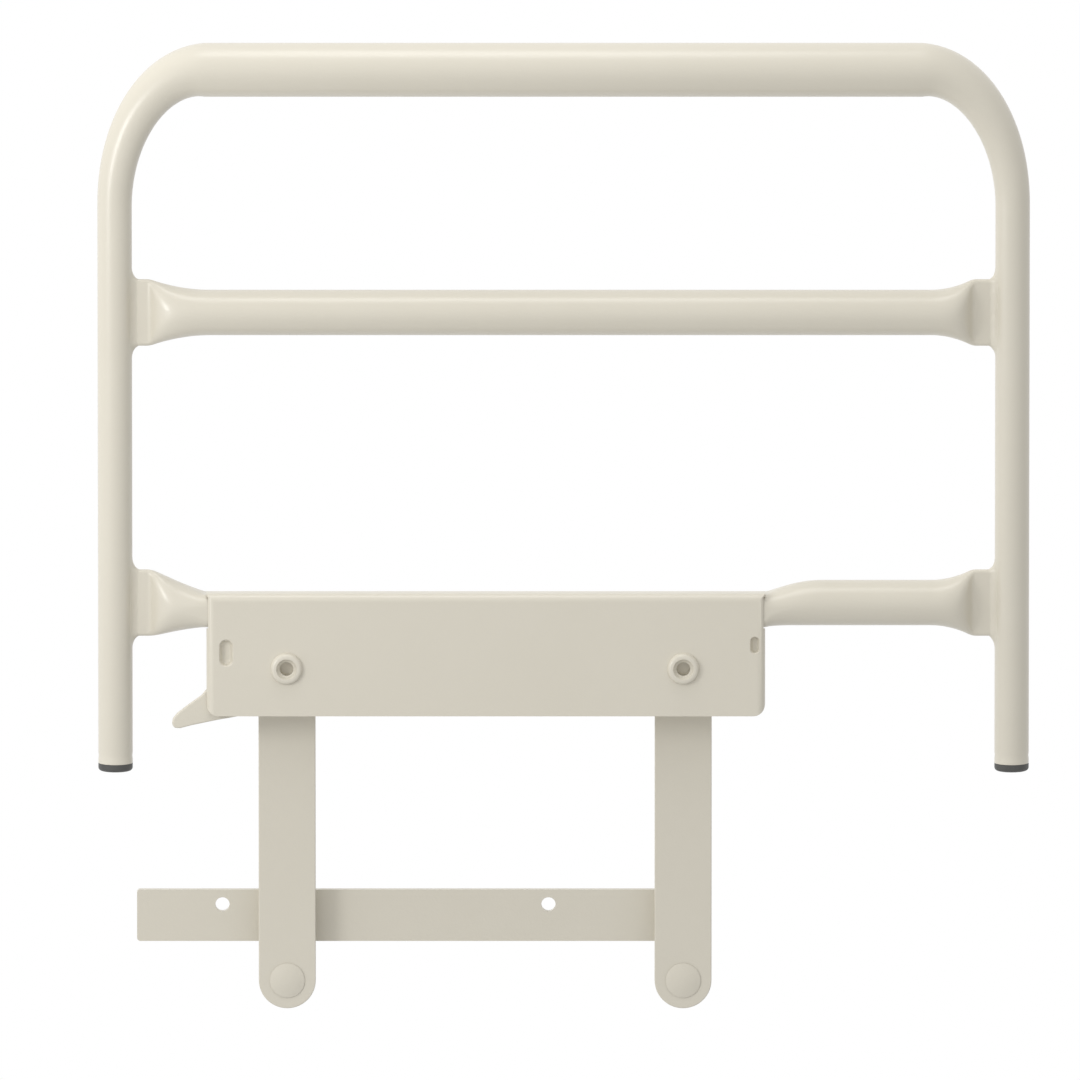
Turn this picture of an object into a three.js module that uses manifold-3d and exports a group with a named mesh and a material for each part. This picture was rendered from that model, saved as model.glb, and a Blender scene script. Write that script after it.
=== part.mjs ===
// Folding bed guard rail: a coated tube hoop that swings down beside the bed on two parallel links.
// A bar bolts to the bed side, the links turn on its lugs, and a sheet housing on the hoop's lower
// rail holds the upper pivots and a hand latch.
// Millimetres, +Z up, front towards -Y. The origin lies on the bar's bed face, midway between
// its two bolt holes along X and on the bar's centre line.
import * as THREE from "three";
import { mergeVertices } from "three/addons/utils/BufferGeometryUtils.js";
import Module from "manifold-3d";

const wasm = await Module();
wasm.setup();

// Fits and facets
const RUN_GAP = 0.3;
const CUT_OVERRUN = 10;
const ARC_STEPS = 6;
const TURN_FACETS = 24;
const TUBE_SIDES = 16;

// Bar that bolts to the bed side
const BAR_THICKNESS = 5;
const BAR_HEIGHT = 33;
const BAR_LEFT_REACH = 95;
const BAR_RIGHT_REACH = 10;
const BAR_CORNER_RADIUS = 2;
const BOLT_HOLE_DIAMETER = 9;
const BOLT_HOLE_SPACING = 206;
const BOLT_HOLE_RISE = 7;

// Swing links and their pivots
const PIVOT_SPACING = 250;
const LEFT_PIVOT_X = -62;
const LOWER_PIVOT_DROP = 39;
const LINK_LENGTH = 205;
const LINK_WIDTH = 36;
const LINK_THICKNESS = 5;
const FOLD_ANGLE_DEGREES = 160;
const PIN_DIAMETER = 12;
const BUSH_WALL = 1.7;
const BUSH_FLANGE_DIAMETER = 22;
const BUSH_FLANGE_THICKNESS = 1;

// Lugs, spacers and pins below the bar
const LUG_WIDTH = 32;
const LUG_THICKNESS = 5;
const LUG_WELD_LAND = 0.5;
const SPACER_DIAMETER = 26;
const SPACER_LENGTH = 4.7;
const LOWER_HEAD_DIAMETER = 22;
const LOWER_HEAD_RIM = 0.6;
const LOWER_HEAD_DOME = 1.3;
const LOWER_TAIL_DIAMETER = 17;
const LOWER_TAIL_THICKNESS = 3.3;

// Hoop tube, drawn down from the top rail to the legs round its two bends
const LEFT_LEG_REACH = 108;
const LEG_SPACING = 565;
const LEG_DIAMETER = 21.7;
const LEG_DROP = 62.5;
const HOOP_TOP_RISE = 378.8;
const HOOP_TOP_DIAMETER = 34;
const BEND_RUN = 57;
const BEND_RISE = 86;
const BEND_STEPS = 10;
const BEND_SWELL_POWER = 1.5;
const TUBE_WALL = 1.8;

// Middle and lower rails, with ends pressed flat where they meet the legs
const RAIL_DIAMETER = 28.6;
const MID_RAIL_RISE = 224.5;
const LOWER_RAIL_RISE = 39.6;
const RAIL_TO_LINK_CLEARANCE = 3.7;
const TAB_THICKNESS = 4.5;
const LEFT_TAB_LENGTH = 11;
const RIGHT_TAB_LENGTH = 14;
const LEFT_FLARE_LENGTH = 38;
const RIGHT_FLARE_LENGTH = 26;
const FLARE_STEPS = 6;

// Stretch of the lower rail that is pressed to fit inside the housing
const PRESSED_HEIGHT = 19.9;
const PRESSED_DEPTH = 29.4;
const PRESSED_CORNER_RADIUS = 6;
const PRESSED_LEFT_END = 0.5;
const PRESSED_RELIEF_LENGTH = 36;

// Latch housing, folded from sheet
const SHEET_THICKNESS = 2;
const HOUSING_LEFT_REACH = 50.5;
const HOUSING_RIGHT_REACH = 51.5;
const HOUSING_DROP = 30.3;
const HOUSING_EDGE_RADIUS = 5;
const HOUSING_EDGE_STEPS = 3;
const HOUSING_CORNER_RADIUS = 7.5;
const FLANGE_DEPTH = 13;
const DIMPLE_WIDTH = 7.5;
const DIMPLE_HEIGHT = 16;
const DIMPLE_DEPTH = 1.2;
const END_DIMPLE_WIDTH = 5;
const END_DIMPLE_HEIGHT = 10;
const END_DIMPLE_INSET = 6.5;
const END_DIMPLE_RISE = 15;

// Upper pivots
const BOSS_DIAMETER = 22;
const UPPER_HEAD_DIAMETER = 20;
const UPPER_HEAD_RIM = 0.8;
const UPPER_HEAD_DOME = 2.4;
const UPPER_HEAD_DISH_DIAMETER = 11;
const UPPER_HEAD_DISH_DEPTH = 1.6;
const DISH_FLOOR_SHARE = 0.6;
const WASHER_DIAMETER = 24;
const WASHER_THICKNESS = 2;
const NUT_ACROSS_FLATS = 19;
const NUT_THICKNESS = 6;
const PIN_END_STICKOUT = 0.5;
const DOME_STEPS = 4;

// Latch
const LATCH_REACH = 38;
const LATCH_RISE = 10;
const LATCH_PIN_DIAMETER = 8;
const LATCH_HUB_DIAMETER = 16;
const LATCH_RING_WALL = 2.7;
const LATCH_RETAINER_DIAMETER = 14;
const LATCH_RETAINER_THICKNESS = 2;
const LATCH_GAP = 0.6;
const HANDLE_THICKNESS = 3;
const HANDLE_REACH = 34.4;
const HANDLE_DROP = 48.9;
const NOTCH_DEPTH = 4;
const NOTCH_FLOOR = 3.7;
const NOTCH_RAMP_DROP = 5;
const PAWL_ARM_ANGLE_DEGREES = 232;

// Latch spring and its anchor
const SPRING_OFFSET = 15;
const SPRING_MEAN_DIAMETER = 5.2;
const SPRING_WIRE_DIAMETER = 1.2;
const SPRING_PITCH = 2.2;
const SPRING_TURNS = 12;
const SPRING_STEPS_PER_TURN = 8;
const SPRING_SIDES = 5;
const ANCHOR_DIAMETER = 5;

// Fold stops
const STOP_DIAMETER = 8;
const STOP_GAP = 0.4;
const STUD_STICKOUT = 0.5;

// Leg plugs
const PLUG_HEAD_HEIGHT = 5;
const PLUG_EDGE_RADIUS = 2.2;
const PLUG_STEM_LENGTH = 20;

// Outline of the latch handle, as shares of its reach to the left and of its drop below the pivot,
// from the edge hidden behind the housing, round the finger tip and back up
const HANDLE_OUTLINE_SHARES = [
  [-0.25, 0.84],
  [0.19, 0.895],
  [0.63, 0.96],
  [0.85, 1],
  [0.955, 0.995],
  [1, 0.94],
  [0.98, 0.87],
  [0.9, 0.8],
  [0.68, 0.68],
  [0.46, 0.57],
  [0.33, 0.46],
];

// Places worked out from the sizes
const RIGHT_PIVOT_X = LEFT_PIVOT_X + PIVOT_SPACING;
const LOWER_PIVOT_Z = -LOWER_PIVOT_DROP;
const UPPER_PIVOT_Z = LOWER_PIVOT_Z + LINK_LENGTH;
const LEFT_LEG_X = LEFT_PIVOT_X - LEFT_LEG_REACH;
const RIGHT_LEG_X = LEFT_LEG_X + LEG_SPACING;
const LEG_END_Z = UPPER_PIVOT_Z - LEG_DROP;
const HOOP_TOP_Z = UPPER_PIVOT_Z + HOOP_TOP_RISE;
const MID_RAIL_Z = UPPER_PIVOT_Z + MID_RAIL_RISE;
const LOWER_RAIL_Z = UPPER_PIVOT_Z + LOWER_RAIL_RISE;
const LATCH_X = LEFT_PIVOT_X - LATCH_REACH;
const LATCH_Z = UPPER_PIVOT_Z + LATCH_RISE;
const LINK_END_RADIUS = LINK_WIDTH / 2;
const RAIL_RADIUS = RAIL_DIAMETER / 2;
const PIN_HOLE_RADIUS = PIN_DIAMETER / 2 + RUN_GAP;
const BUSH_RADIUS = PIN_HOLE_RADIUS + BUSH_WALL;

// Depths along Y, from the bed face forward
const BAR_FRONT_Y = -BAR_THICKNESS;
const LUG_FRONT_Y = BAR_FRONT_Y - LUG_THICKNESS;
const SPACER_FRONT_Y = LUG_FRONT_Y - SPACER_LENGTH;
const LINK_BACK_Y = SPACER_FRONT_Y - RUN_GAP - BUSH_FLANGE_THICKNESS;
const LINK_FRONT_Y = LINK_BACK_Y - LINK_THICKNESS;
const RAIL_PLANE_Y = LINK_FRONT_Y - RAIL_TO_LINK_CLEARANCE - RAIL_RADIUS;
const PRESSED_BACK_Y = RAIL_PLANE_Y + PRESSED_DEPTH / 2;
const HOUSING_INNER_Y = RAIL_PLANE_Y - PRESSED_DEPTH / 2 - RUN_GAP;
const HOUSING_FRONT_Y = HOUSING_INNER_Y - SHEET_THICKNESS;
const RETURN_BACK_Y = HOUSING_FRONT_Y + HOUSING_EDGE_RADIUS;
const FLANGE_BACK_Y = HOUSING_FRONT_Y + FLANGE_DEPTH;
const WASHER_FRONT_Y = LINK_BACK_Y + RUN_GAP;
const NUT_FRONT_Y = WASHER_FRONT_Y + WASHER_THICKNESS;
const NUT_BACK_Y = NUT_FRONT_Y + NUT_THICKNESS;
const HUB_FRONT_Y = HOUSING_INNER_Y + RUN_GAP;
const HUB_BACK_Y = LINK_BACK_Y + RUN_GAP;
const HANDLE_FRONT_Y = RETURN_BACK_Y + RUN_GAP;

// Housing outline, with its top set by the pressed rail that it wraps
const HOUSING_LEFT = LEFT_PIVOT_X - HOUSING_LEFT_REACH;
const HOUSING_RIGHT = RIGHT_PIVOT_X + HOUSING_RIGHT_REACH;
const HOUSING_BOTTOM = UPPER_PIVOT_Z - HOUSING_DROP;
const PRESSED_BOTTOM = LOWER_RAIL_Z - RAIL_RADIUS;
const PRESSED_CENTRE_Z = PRESSED_BOTTOM + PRESSED_HEIGHT / 2;
const HOUSING_TOP = PRESSED_BOTTOM + PRESSED_HEIGHT + RUN_GAP + SHEET_THICKNESS;

// Materials
const coatedSteel = () =>
  new THREE.MeshStandardMaterial({ color: 0xd5cfc1, roughness: 0.42, metalness: 0 });
const zincSteel = () =>
  new THREE.MeshStandardMaterial({ color: 0xb9bcc0, roughness: 0.35, metalness: 0.9 });
const springSteel = () =>
  new THREE.MeshStandardMaterial({ color: 0x8f9296, roughness: 0.3, metalness: 0.95 });
const bearingPlastic = () =>
  new THREE.MeshStandardMaterial({ color: 0xe8e6df, roughness: 0.5, metalness: 0 });
const blackPlastic = () =>
  new THREE.MeshStandardMaterial({ color: 0x1d1d1b, roughness: 0.55, metalness: 0 });

// Solid of a closed geometry, and the way back
function toSolid(geometry) {
  const plain = geometry.index ? geometry.toNonIndexed() : geometry.clone();
  plain.deleteAttribute("normal");
  plain.deleteAttribute("uv");
  const merged = mergeVertices(plain);
  const vertProperties = merged.attributes.position.array;
  const triVerts = new Uint32Array(merged.index.array);
  return new wasm.Manifold(new wasm.Mesh({ numProp: 3, vertProperties, triVerts }));
}

function toGeometry(solid) {
  const mesh = solid.getMesh();
  const geometry = new THREE.BufferGeometry();
  geometry.setAttribute("position", new THREE.BufferAttribute(mesh.vertProperties, 3));
  geometry.setIndex(new THREE.BufferAttribute(mesh.triVerts, 1));
  return geometry;
}

function piece(name, geometry, material, x, y, z) {
  const mesh = new THREE.Mesh(geometry, material);
  mesh.name = name;
  mesh.position.set(x, y, z);
  return mesh;
}

// Plate cut from a shape drawn in X and Z, with its back face at Y zero and its front face forward
function plate(shape, thickness) {
  const geometry = new THREE.ExtrudeGeometry(shape, {
    depth: thickness,
    bevelEnabled: false,
    curveSegments: ARC_STEPS,
  });
  return geometry.rotateX(Math.PI / 2);
}

// Solid turned about Y from points of radius and Y, listed from front to back
function turned(profile) {
  const points = profile.map(([radius, y]) => new THREE.Vector2(radius, y));
  return new THREE.LatheGeometry(points, TURN_FACETS);
}

function sleeve(innerRadius, outerRadius, frontY, backY) {
  return turned([
    [innerRadius, frontY],
    [outerRadius, frontY],
    [outerRadius, backY],
    [innerRadius, backY],
    [innerRadius, frontY],
  ]);
}

// Points of a domed head, from its crown to its rim and down to the face it sits on
function domedHead(crownRadius, radius, dome, rim, seatY) {
  const points = [];
  for (let step = 0; step <= DOME_STEPS; step++) {
    const angle = ((step / DOME_STEPS) * Math.PI) / 2;
    const spread = crownRadius + (radius - crownRadius) * Math.sin(angle);
    points.push([spread, seatY - rim - dome * Math.cos(angle)]);
  }
  points.push([radius, seatY]);
  return points;
}

function circlePath(x, z, radius) {
  const path = new THREE.Path();
  path.absarc(x, z, radius, 0, Math.PI, false);
  path.absarc(x, z, radius, Math.PI, 2 * Math.PI, false);
  return path;
}

function roundedRectangle(left, bottom, right, top, radius) {
  const shape = new THREE.Shape();
  shape.absarc(right - radius, bottom + radius, radius, -Math.PI / 2, 0, false);
  shape.absarc(right - radius, top - radius, radius, 0, Math.PI / 2, false);
  shape.absarc(left + radius, top - radius, radius, Math.PI / 2, Math.PI, false);
  shape.absarc(left + radius, bottom + radius, radius, Math.PI, 1.5 * Math.PI, false);
  shape.closePath();
  return shape;
}

// Upright outline with straight sides and round ends
function dimpleShape(x, z, width, height) {
  const radius = width / 2;
  const shape = new THREE.Shape();
  shape.absarc(x, z + height / 2 - radius, radius, 0, Math.PI, false);
  shape.absarc(x, z - height / 2 + radius, radius, Math.PI, 2 * Math.PI, false);
  shape.closePath();
  return shape;
}

// Closed surface through equal rings: looped end to start, or capped at both ends
function loft(rings, looped) {
  const sides = rings[0].length;
  const positions = rings.flat().flatMap((point) => [point.x, point.y, point.z]);
  const triangles = [];
  const spans = looped ? rings.length : rings.length - 1;
  for (let ring = 0; ring < spans; ring++) {
    const near = ring * sides;
    const far = ((ring + 1) % rings.length) * sides;
    for (let side = 0; side < sides; side++) {
      const next = (side + 1) % sides;
      triangles.push(near + side, near + next, far + side);
      triangles.push(near + next, far + next, far + side);
    }
  }
  if (!looped) {
    const last = (rings.length - 1) * sides;
    for (let side = 1; side < sides - 1; side++) {
      triangles.push(0, side + 1, side);
      triangles.push(last, last + side, last + side + 1);
    }
  }
  const geometry = new THREE.BufferGeometry();
  geometry.setAttribute("position", new THREE.Float32BufferAttribute(positions, 3));
  geometry.setIndex(triangles);
  return geometry;
}

// Hollow tube, open at both ends, from its outer rings and its inner rings
function hollowLoft(outerRings, innerRings) {
  return loft([...outerRings, ...innerRings.reverse()], true);
}

// Bar with the two bolt holes
function barGeometry() {
  const left = LEFT_PIVOT_X - BAR_LEFT_REACH;
  const right = RIGHT_PIVOT_X + BAR_RIGHT_REACH;
  const shape = roundedRectangle(left, -BAR_HEIGHT / 2, right, BAR_HEIGHT / 2, BAR_CORNER_RADIUS);
  for (const side of [-1, 1]) {
    const holeX = (side * BOLT_HOLE_SPACING) / 2;
    shape.holes.push(circlePath(holeX, BOLT_HOLE_RISE, BOLT_HOLE_DIAMETER / 2));
  }
  return plate(shape, BAR_THICKNESS);
}

// Lug drawn about its pivot, with its straight top end welded to the bar
function lugGeometry() {
  const radius = LUG_WIDTH / 2;
  const top = LOWER_PIVOT_DROP + BAR_HEIGHT / 2 - LUG_WELD_LAND;
  const shape = new THREE.Shape();
  shape.absarc(0, 0, radius, Math.PI, 2 * Math.PI, false);
  shape.lineTo(radius, top);
  shape.lineTo(-radius, top);
  shape.closePath();
  shape.holes.push(circlePath(0, 0, PIN_HOLE_RADIUS));
  return plate(shape, LUG_THICKNESS);
}

function lowerPinGeometry() {
  const headRadius = LOWER_HEAD_DIAMETER / 2;
  const tailRadius = LOWER_TAIL_DIAMETER / 2;
  const tailEndY = BAR_FRONT_Y + LOWER_TAIL_THICKNESS;
  return turned([
    ...domedHead(0, headRadius, LOWER_HEAD_DOME, LOWER_HEAD_RIM, LINK_FRONT_Y - RUN_GAP),
    [PIN_DIAMETER / 2, LINK_FRONT_Y - RUN_GAP],
    [PIN_DIAMETER / 2, BAR_FRONT_Y],
    [tailRadius, BAR_FRONT_Y],
    [tailRadius, tailEndY],
    [0, tailEndY],
  ]);
}

// Bush in a link, with its flange behind the link at the lower pivot and before it at the upper one
function bushGeometry(flangeInFront) {
  const flangeRadius = BUSH_FLANGE_DIAMETER / 2;
  const frontY = flangeInFront ? LINK_FRONT_Y - BUSH_FLANGE_THICKNESS : LINK_FRONT_Y;
  const backY = flangeInFront ? LINK_BACK_Y : LINK_BACK_Y + BUSH_FLANGE_THICKNESS;
  const stepY = flangeInFront ? LINK_FRONT_Y : LINK_BACK_Y;
  const frontRadius = flangeInFront ? flangeRadius : BUSH_RADIUS;
  const backRadius = flangeInFront ? BUSH_RADIUS : flangeRadius;
  return turned([
    [PIN_HOLE_RADIUS, frontY],
    [frontRadius, frontY],
    [frontRadius, stepY],
    [backRadius, stepY],
    [backRadius, backY],
    [PIN_HOLE_RADIUS, backY],
    [PIN_HOLE_RADIUS, frontY],
  ]);
}

// Corners of the latch notch in the left edge of a link, about the link's upper pivot
const NOTCH_X = NOTCH_DEPTH - LINK_END_RADIUS;
const NOTCH_TOP_Z = -Math.sqrt(LINK_END_RADIUS ** 2 - NOTCH_X ** 2);
const NOTCH_FLOOR_Z = NOTCH_TOP_Z - NOTCH_FLOOR;
const NOTCH_END_Z = NOTCH_FLOOR_Z - NOTCH_RAMP_DROP;

// Link drawn about its lower pivot; the latched one has a notch under its upper head
function linkGeometry(notched) {
  const radius = LINK_END_RADIUS;
  const headEndAngle = notched ? Math.atan2(NOTCH_TOP_Z, NOTCH_X) + 2 * Math.PI : Math.PI;
  const shape = new THREE.Shape();
  shape.absarc(0, 0, radius, Math.PI, 2 * Math.PI, false);
  shape.absarc(0, LINK_LENGTH, radius, 0, headEndAngle, false);
  if (notched) {
    shape.lineTo(NOTCH_X, LINK_LENGTH + NOTCH_FLOOR_Z);
    shape.lineTo(-radius, LINK_LENGTH + NOTCH_END_Z);
  }
  shape.closePath();
  shape.holes.push(circlePath(0, 0, BUSH_RADIUS + RUN_GAP));
  shape.holes.push(circlePath(0, LINK_LENGTH, BUSH_RADIUS + RUN_GAP));
  return plate(shape, LINK_THICKNESS);
}

// Stations of the hoop's centre line: a point, the outward direction and the tube's radius there
function hoopStations() {
  const legRadius = LEG_DIAMETER / 2;
  const topRadius = HOOP_TOP_DIAMETER / 2;
  const left = [{ x: LEFT_LEG_X, z: LEG_END_Z, outX: -1, outZ: 0, radius: legRadius }];
  for (let step = 0; step <= BEND_STEPS; step++) {
    const share = step / BEND_STEPS;
    const angle = (share * Math.PI) / 2;
    const out = new THREE.Vector2(-Math.cos(angle) * BEND_RISE, Math.sin(angle) * BEND_RUN);
    out.normalize();
    left.push({
      x: LEFT_LEG_X + BEND_RUN * (1 - Math.cos(angle)),
      z: HOOP_TOP_Z - BEND_RISE * (1 - Math.sin(angle)),
      outX: out.x,
      outZ: out.y,
      radius: legRadius + (topRadius - legRadius) * share ** BEND_SWELL_POWER,
    });
  }
  const right = left.map((station) => ({
    ...station,
    x: LEFT_LEG_X + RIGHT_LEG_X - station.x,
    outX: -station.outX,
  }));
  return [...left, ...right.reverse()];
}

function hoopRing(station, inset) {
  const radius = station.radius - inset;
  const ring = [];
  for (let side = 0; side < TUBE_SIDES; side++) {
    const angle = (2 * Math.PI * side) / TUBE_SIDES;
    const out = radius * Math.cos(angle);
    const y = RAIL_PLANE_Y - radius * Math.sin(angle);
    ring.push(new THREE.Vector3(station.x + out * station.outX, y, station.z + out * station.outZ));
  }
  return ring;
}

function hoopGeometry() {
  const stations = hoopStations();
  const outer = stations.map((station) => hoopRing(station, 0));
  const inner = stations.map((station) => hoopRing(station, TUBE_WALL));
  return hollowLoft(outer, inner);
}

// Cross-sections of the rails: half height, half depth, corner radius and centre height.
// The flat tab keeps the girth of the round tube that it was pressed from.
function tabSection(centreZ) {
  const halfDepth = TAB_THICKNESS / 2;
  const quarterGirth = (Math.PI * RAIL_RADIUS) / 2;
  const halfHeight = quarterGirth - halfDepth * (Math.PI / 2 - 1);
  return { halfHeight, halfDepth, corner: halfDepth, centreZ };
}

function roundSection(centreZ) {
  return { halfHeight: RAIL_RADIUS, halfDepth: RAIL_RADIUS, corner: RAIL_RADIUS, centreZ };
}

function pressedSection() {
  return {
    halfHeight: PRESSED_HEIGHT / 2,
    halfDepth: PRESSED_DEPTH / 2,
    corner: PRESSED_CORNER_RADIUS,
    centreZ: PRESSED_CENTRE_Z,
  };
}

// Sections between two others, where ease bends the change towards its start
function morph(from, to, startX, endX, ease) {
  const stations = [];
  for (let step = 0; step <= FLARE_STEPS; step++) {
    const share = step / FLARE_STEPS;
    const blend = ease(share);
    const station = { x: startX + (endX - startX) * share };
    for (const key of ["halfHeight", "halfDepth", "corner", "centreZ"]) {
      station[key] = from[key] + (to[key] - from[key]) * blend;
    }
    stations.push(station);
  }
  return stations;
}

const easeOut = (share) => 1 - (1 - share) ** 2;
const easeIn = (share) => share ** 2;
const steady = (share) => share;

function railRing(station, inset) {
  const corner = station.corner - inset;
  const flatZ = station.halfHeight - inset - corner;
  const flatY = station.halfDepth - inset - corner;
  const ring = [];
  for (let side = 0; side < TUBE_SIDES; side++) {
    const angle = (2 * Math.PI * (side + 0.5)) / TUBE_SIDES;
    const y = corner * Math.cos(angle) + Math.sign(Math.cos(angle)) * flatY;
    const z = corner * Math.sin(angle) + Math.sign(Math.sin(angle)) * flatZ;
    ring.push(new THREE.Vector3(station.x, RAIL_PLANE_Y + y, station.centreZ + z));
  }
  return ring;
}

function railGeometry(stations) {
  const outer = stations.map((station) => railRing(station, 0));
  const inner = stations.map((station) => railRing(station, TUBE_WALL));
  return hollowLoft(outer, inner);
}

// Ends of both rails, just clear of the legs
const RAIL_LEFT_X = LEFT_LEG_X + LEG_DIAMETER / 2 + RUN_GAP;
const RAIL_RIGHT_X = RIGHT_LEG_X - LEG_DIAMETER / 2 - RUN_GAP;
const LEFT_CREASE_X = RAIL_LEFT_X + LEFT_TAB_LENGTH;
const RIGHT_CREASE_X = RAIL_RIGHT_X - RIGHT_TAB_LENGTH;

function rightFlareStations(centreZ) {
  const tab = tabSection(centreZ);
  const flareX = RIGHT_CREASE_X - RIGHT_FLARE_LENGTH;
  const flare = morph(roundSection(centreZ), tab, flareX, RIGHT_CREASE_X, easeIn);
  return [...flare, { ...tab, x: RAIL_RIGHT_X }];
}

function midRailGeometry() {
  const tab = tabSection(MID_RAIL_Z);
  const round = roundSection(MID_RAIL_Z);
  const leftEndX = LEFT_CREASE_X + LEFT_FLARE_LENGTH;
  return railGeometry([
    { ...tab, x: RAIL_LEFT_X },
    ...morph(tab, round, LEFT_CREASE_X, leftEndX, easeOut),
    ...rightFlareStations(MID_RAIL_Z),
  ]);
}

function lowerRailGeometry() {
  const tab = tabSection(LOWER_RAIL_Z);
  const round = roundSection(LOWER_RAIL_Z);
  const pressed = pressedSection();
  const pressedLeftX = HOUSING_LEFT - PRESSED_LEFT_END;
  const roundX = HOUSING_RIGHT + PRESSED_RELIEF_LENGTH;
  return railGeometry([
    { ...tab, x: RAIL_LEFT_X },
    ...morph(tab, pressed, LEFT_CREASE_X, pressedLeftX, steady),
    ...morph(pressed, round, HOUSING_RIGHT, roundX, easeOut),
    ...rightFlareStations(LOWER_RAIL_Z),
  ]);
}

// Block with a rounded front edge, set in from the housing's outside; its back and bottom run on past it
function housingBlock(inset) {
  const radius = HOUSING_EDGE_RADIUS - inset;
  const bottom = HOUSING_BOTTOM - CUT_OVERRUN - inset;
  const top = HOUSING_TOP - inset;
  const shape = new THREE.Shape();
  shape.moveTo(HOUSING_LEFT + inset, bottom);
  shape.lineTo(HOUSING_RIGHT - inset, bottom);
  shape.lineTo(HOUSING_RIGHT - inset, top);
  shape.lineTo(HOUSING_LEFT + inset, top);
  shape.closePath();
  const depth = FLANGE_DEPTH + CUT_OVERRUN;
  const geometry = new THREE.ExtrudeGeometry(shape, {
    depth,
    bevelThickness: radius,
    bevelSize: radius,
    bevelOffset: -radius,
    bevelSegments: HOUSING_EDGE_STEPS,
  });
  const frontY = HOUSING_FRONT_Y + inset;
  return geometry.rotateX(Math.PI / 2).translate(0, frontY + depth + radius, 0);
}

// Straight cutter through a shape, between two depths
function cutter(shape, frontY, backY) {
  return toSolid(plate(shape, backY - frontY).translate(0, backY, 0));
}

function boxCutter(left, right, frontY, backY, bottom, top) {
  const geometry = new THREE.BoxGeometry(right - left, backY - frontY, top - bottom);
  geometry.translate((left + right) / 2, (frontY + backY) / 2, (bottom + top) / 2);
  return toSolid(geometry);
}

// Outline with round bottom corners; its top runs past the block's
function housingOutline() {
  const radius = HOUSING_CORNER_RADIUS;
  const top = HOUSING_TOP + CUT_OVERRUN;
  const shape = new THREE.Shape();
  shape.absarc(HOUSING_LEFT + radius, HOUSING_BOTTOM + radius, radius, Math.PI, 1.5 * Math.PI, false);
  shape.absarc(HOUSING_RIGHT - radius, HOUSING_BOTTOM + radius, radius, 1.5 * Math.PI, 2 * Math.PI, false);
  shape.lineTo(HOUSING_RIGHT, top);
  shape.lineTo(HOUSING_LEFT, top);
  shape.closePath();
  return shape;
}

function housingGeometry() {
  const frontY = HOUSING_FRONT_Y - CUT_OVERRUN;
  const backY = FLANGE_BACK_Y + CUT_OVERRUN;
  const left = HOUSING_LEFT - CUT_OVERRUN;
  const right = HOUSING_RIGHT + CUT_OVERRUN;
  const bottom = HOUSING_BOTTOM - CUT_OVERRUN;
  const flangeZ = HOUSING_TOP - HOUSING_EDGE_RADIUS;
  const slotBottom = PRESSED_BOTTOM - RUN_GAP;
  const slotTop = HOUSING_TOP - SHEET_THICKNESS;
  let solid = toSolid(housingBlock(0));
  solid = solid.intersect(cutter(housingOutline(), frontY, FLANGE_BACK_Y));
  solid = solid.subtract(toSolid(housingBlock(SHEET_THICKNESS)));
  solid = solid.subtract(boxCutter(left, right, RETURN_BACK_Y, backY, bottom, flangeZ));
  solid = solid.subtract(boxCutter(left, right, HOUSING_INNER_Y, backY, slotBottom, slotTop));
  for (const pivotX of [LEFT_PIVOT_X, RIGHT_PIVOT_X]) {
    const hole = new THREE.Shape(circlePath(pivotX, UPPER_PIVOT_Z, PIN_HOLE_RADIUS).getPoints(ARC_STEPS));
    solid = solid.subtract(cutter(hole, frontY, backY));
  }
  const endX = HOUSING_RIGHT - END_DIMPLE_INSET;
  const endZ = UPPER_PIVOT_Z + END_DIMPLE_RISE;
  const dimples = [
    dimpleShape(LATCH_X, LATCH_Z, DIMPLE_WIDTH, DIMPLE_HEIGHT),
    dimpleShape(endX, endZ, END_DIMPLE_WIDTH, END_DIMPLE_HEIGHT),
  ];
  for (const dimple of dimples) {
    solid = solid.subtract(cutter(dimple, frontY, HOUSING_FRONT_Y + DIMPLE_DEPTH));
  }
  return toGeometry(solid);
}

// Upper pin, whose head has a round lip about a shallow dish
function upperPinGeometry() {
  const endY = NUT_BACK_Y + PIN_END_STICKOUT;
  const headRadius = UPPER_HEAD_DIAMETER / 2;
  const lipRadius = UPPER_HEAD_DISH_DIAMETER / 2;
  const dishY = HOUSING_FRONT_Y - UPPER_HEAD_RIM - UPPER_HEAD_DOME + UPPER_HEAD_DISH_DEPTH;
  return turned([
    [0, dishY],
    [lipRadius * DISH_FLOOR_SHARE, dishY],
    ...domedHead(lipRadius, headRadius, UPPER_HEAD_DOME, UPPER_HEAD_RIM, HOUSING_FRONT_Y),
    [PIN_DIAMETER / 2, HOUSING_FRONT_Y],
    [PIN_DIAMETER / 2, endY],
    [0, endY],
  ]);
}

function bossGeometry() {
  const backY = LINK_FRONT_Y - BUSH_FLANGE_THICKNESS - RUN_GAP;
  return sleeve(PIN_HOLE_RADIUS, BOSS_DIAMETER / 2, HOUSING_INNER_Y, backY);
}

function nutGeometry() {
  const cornerRadius = NUT_ACROSS_FLATS / Math.sqrt(3);
  const corners = [];
  for (let corner = 0; corner < 6; corner++) {
    const angle = (corner * Math.PI) / 3;
    corners.push(new THREE.Vector2(cornerRadius * Math.cos(angle), cornerRadius * Math.sin(angle)));
  }
  const shape = new THREE.Shape(corners);
  shape.holes.push(circlePath(0, 0, PIN_HOLE_RADIUS));
  return plate(shape, NUT_THICKNESS);
}

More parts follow.
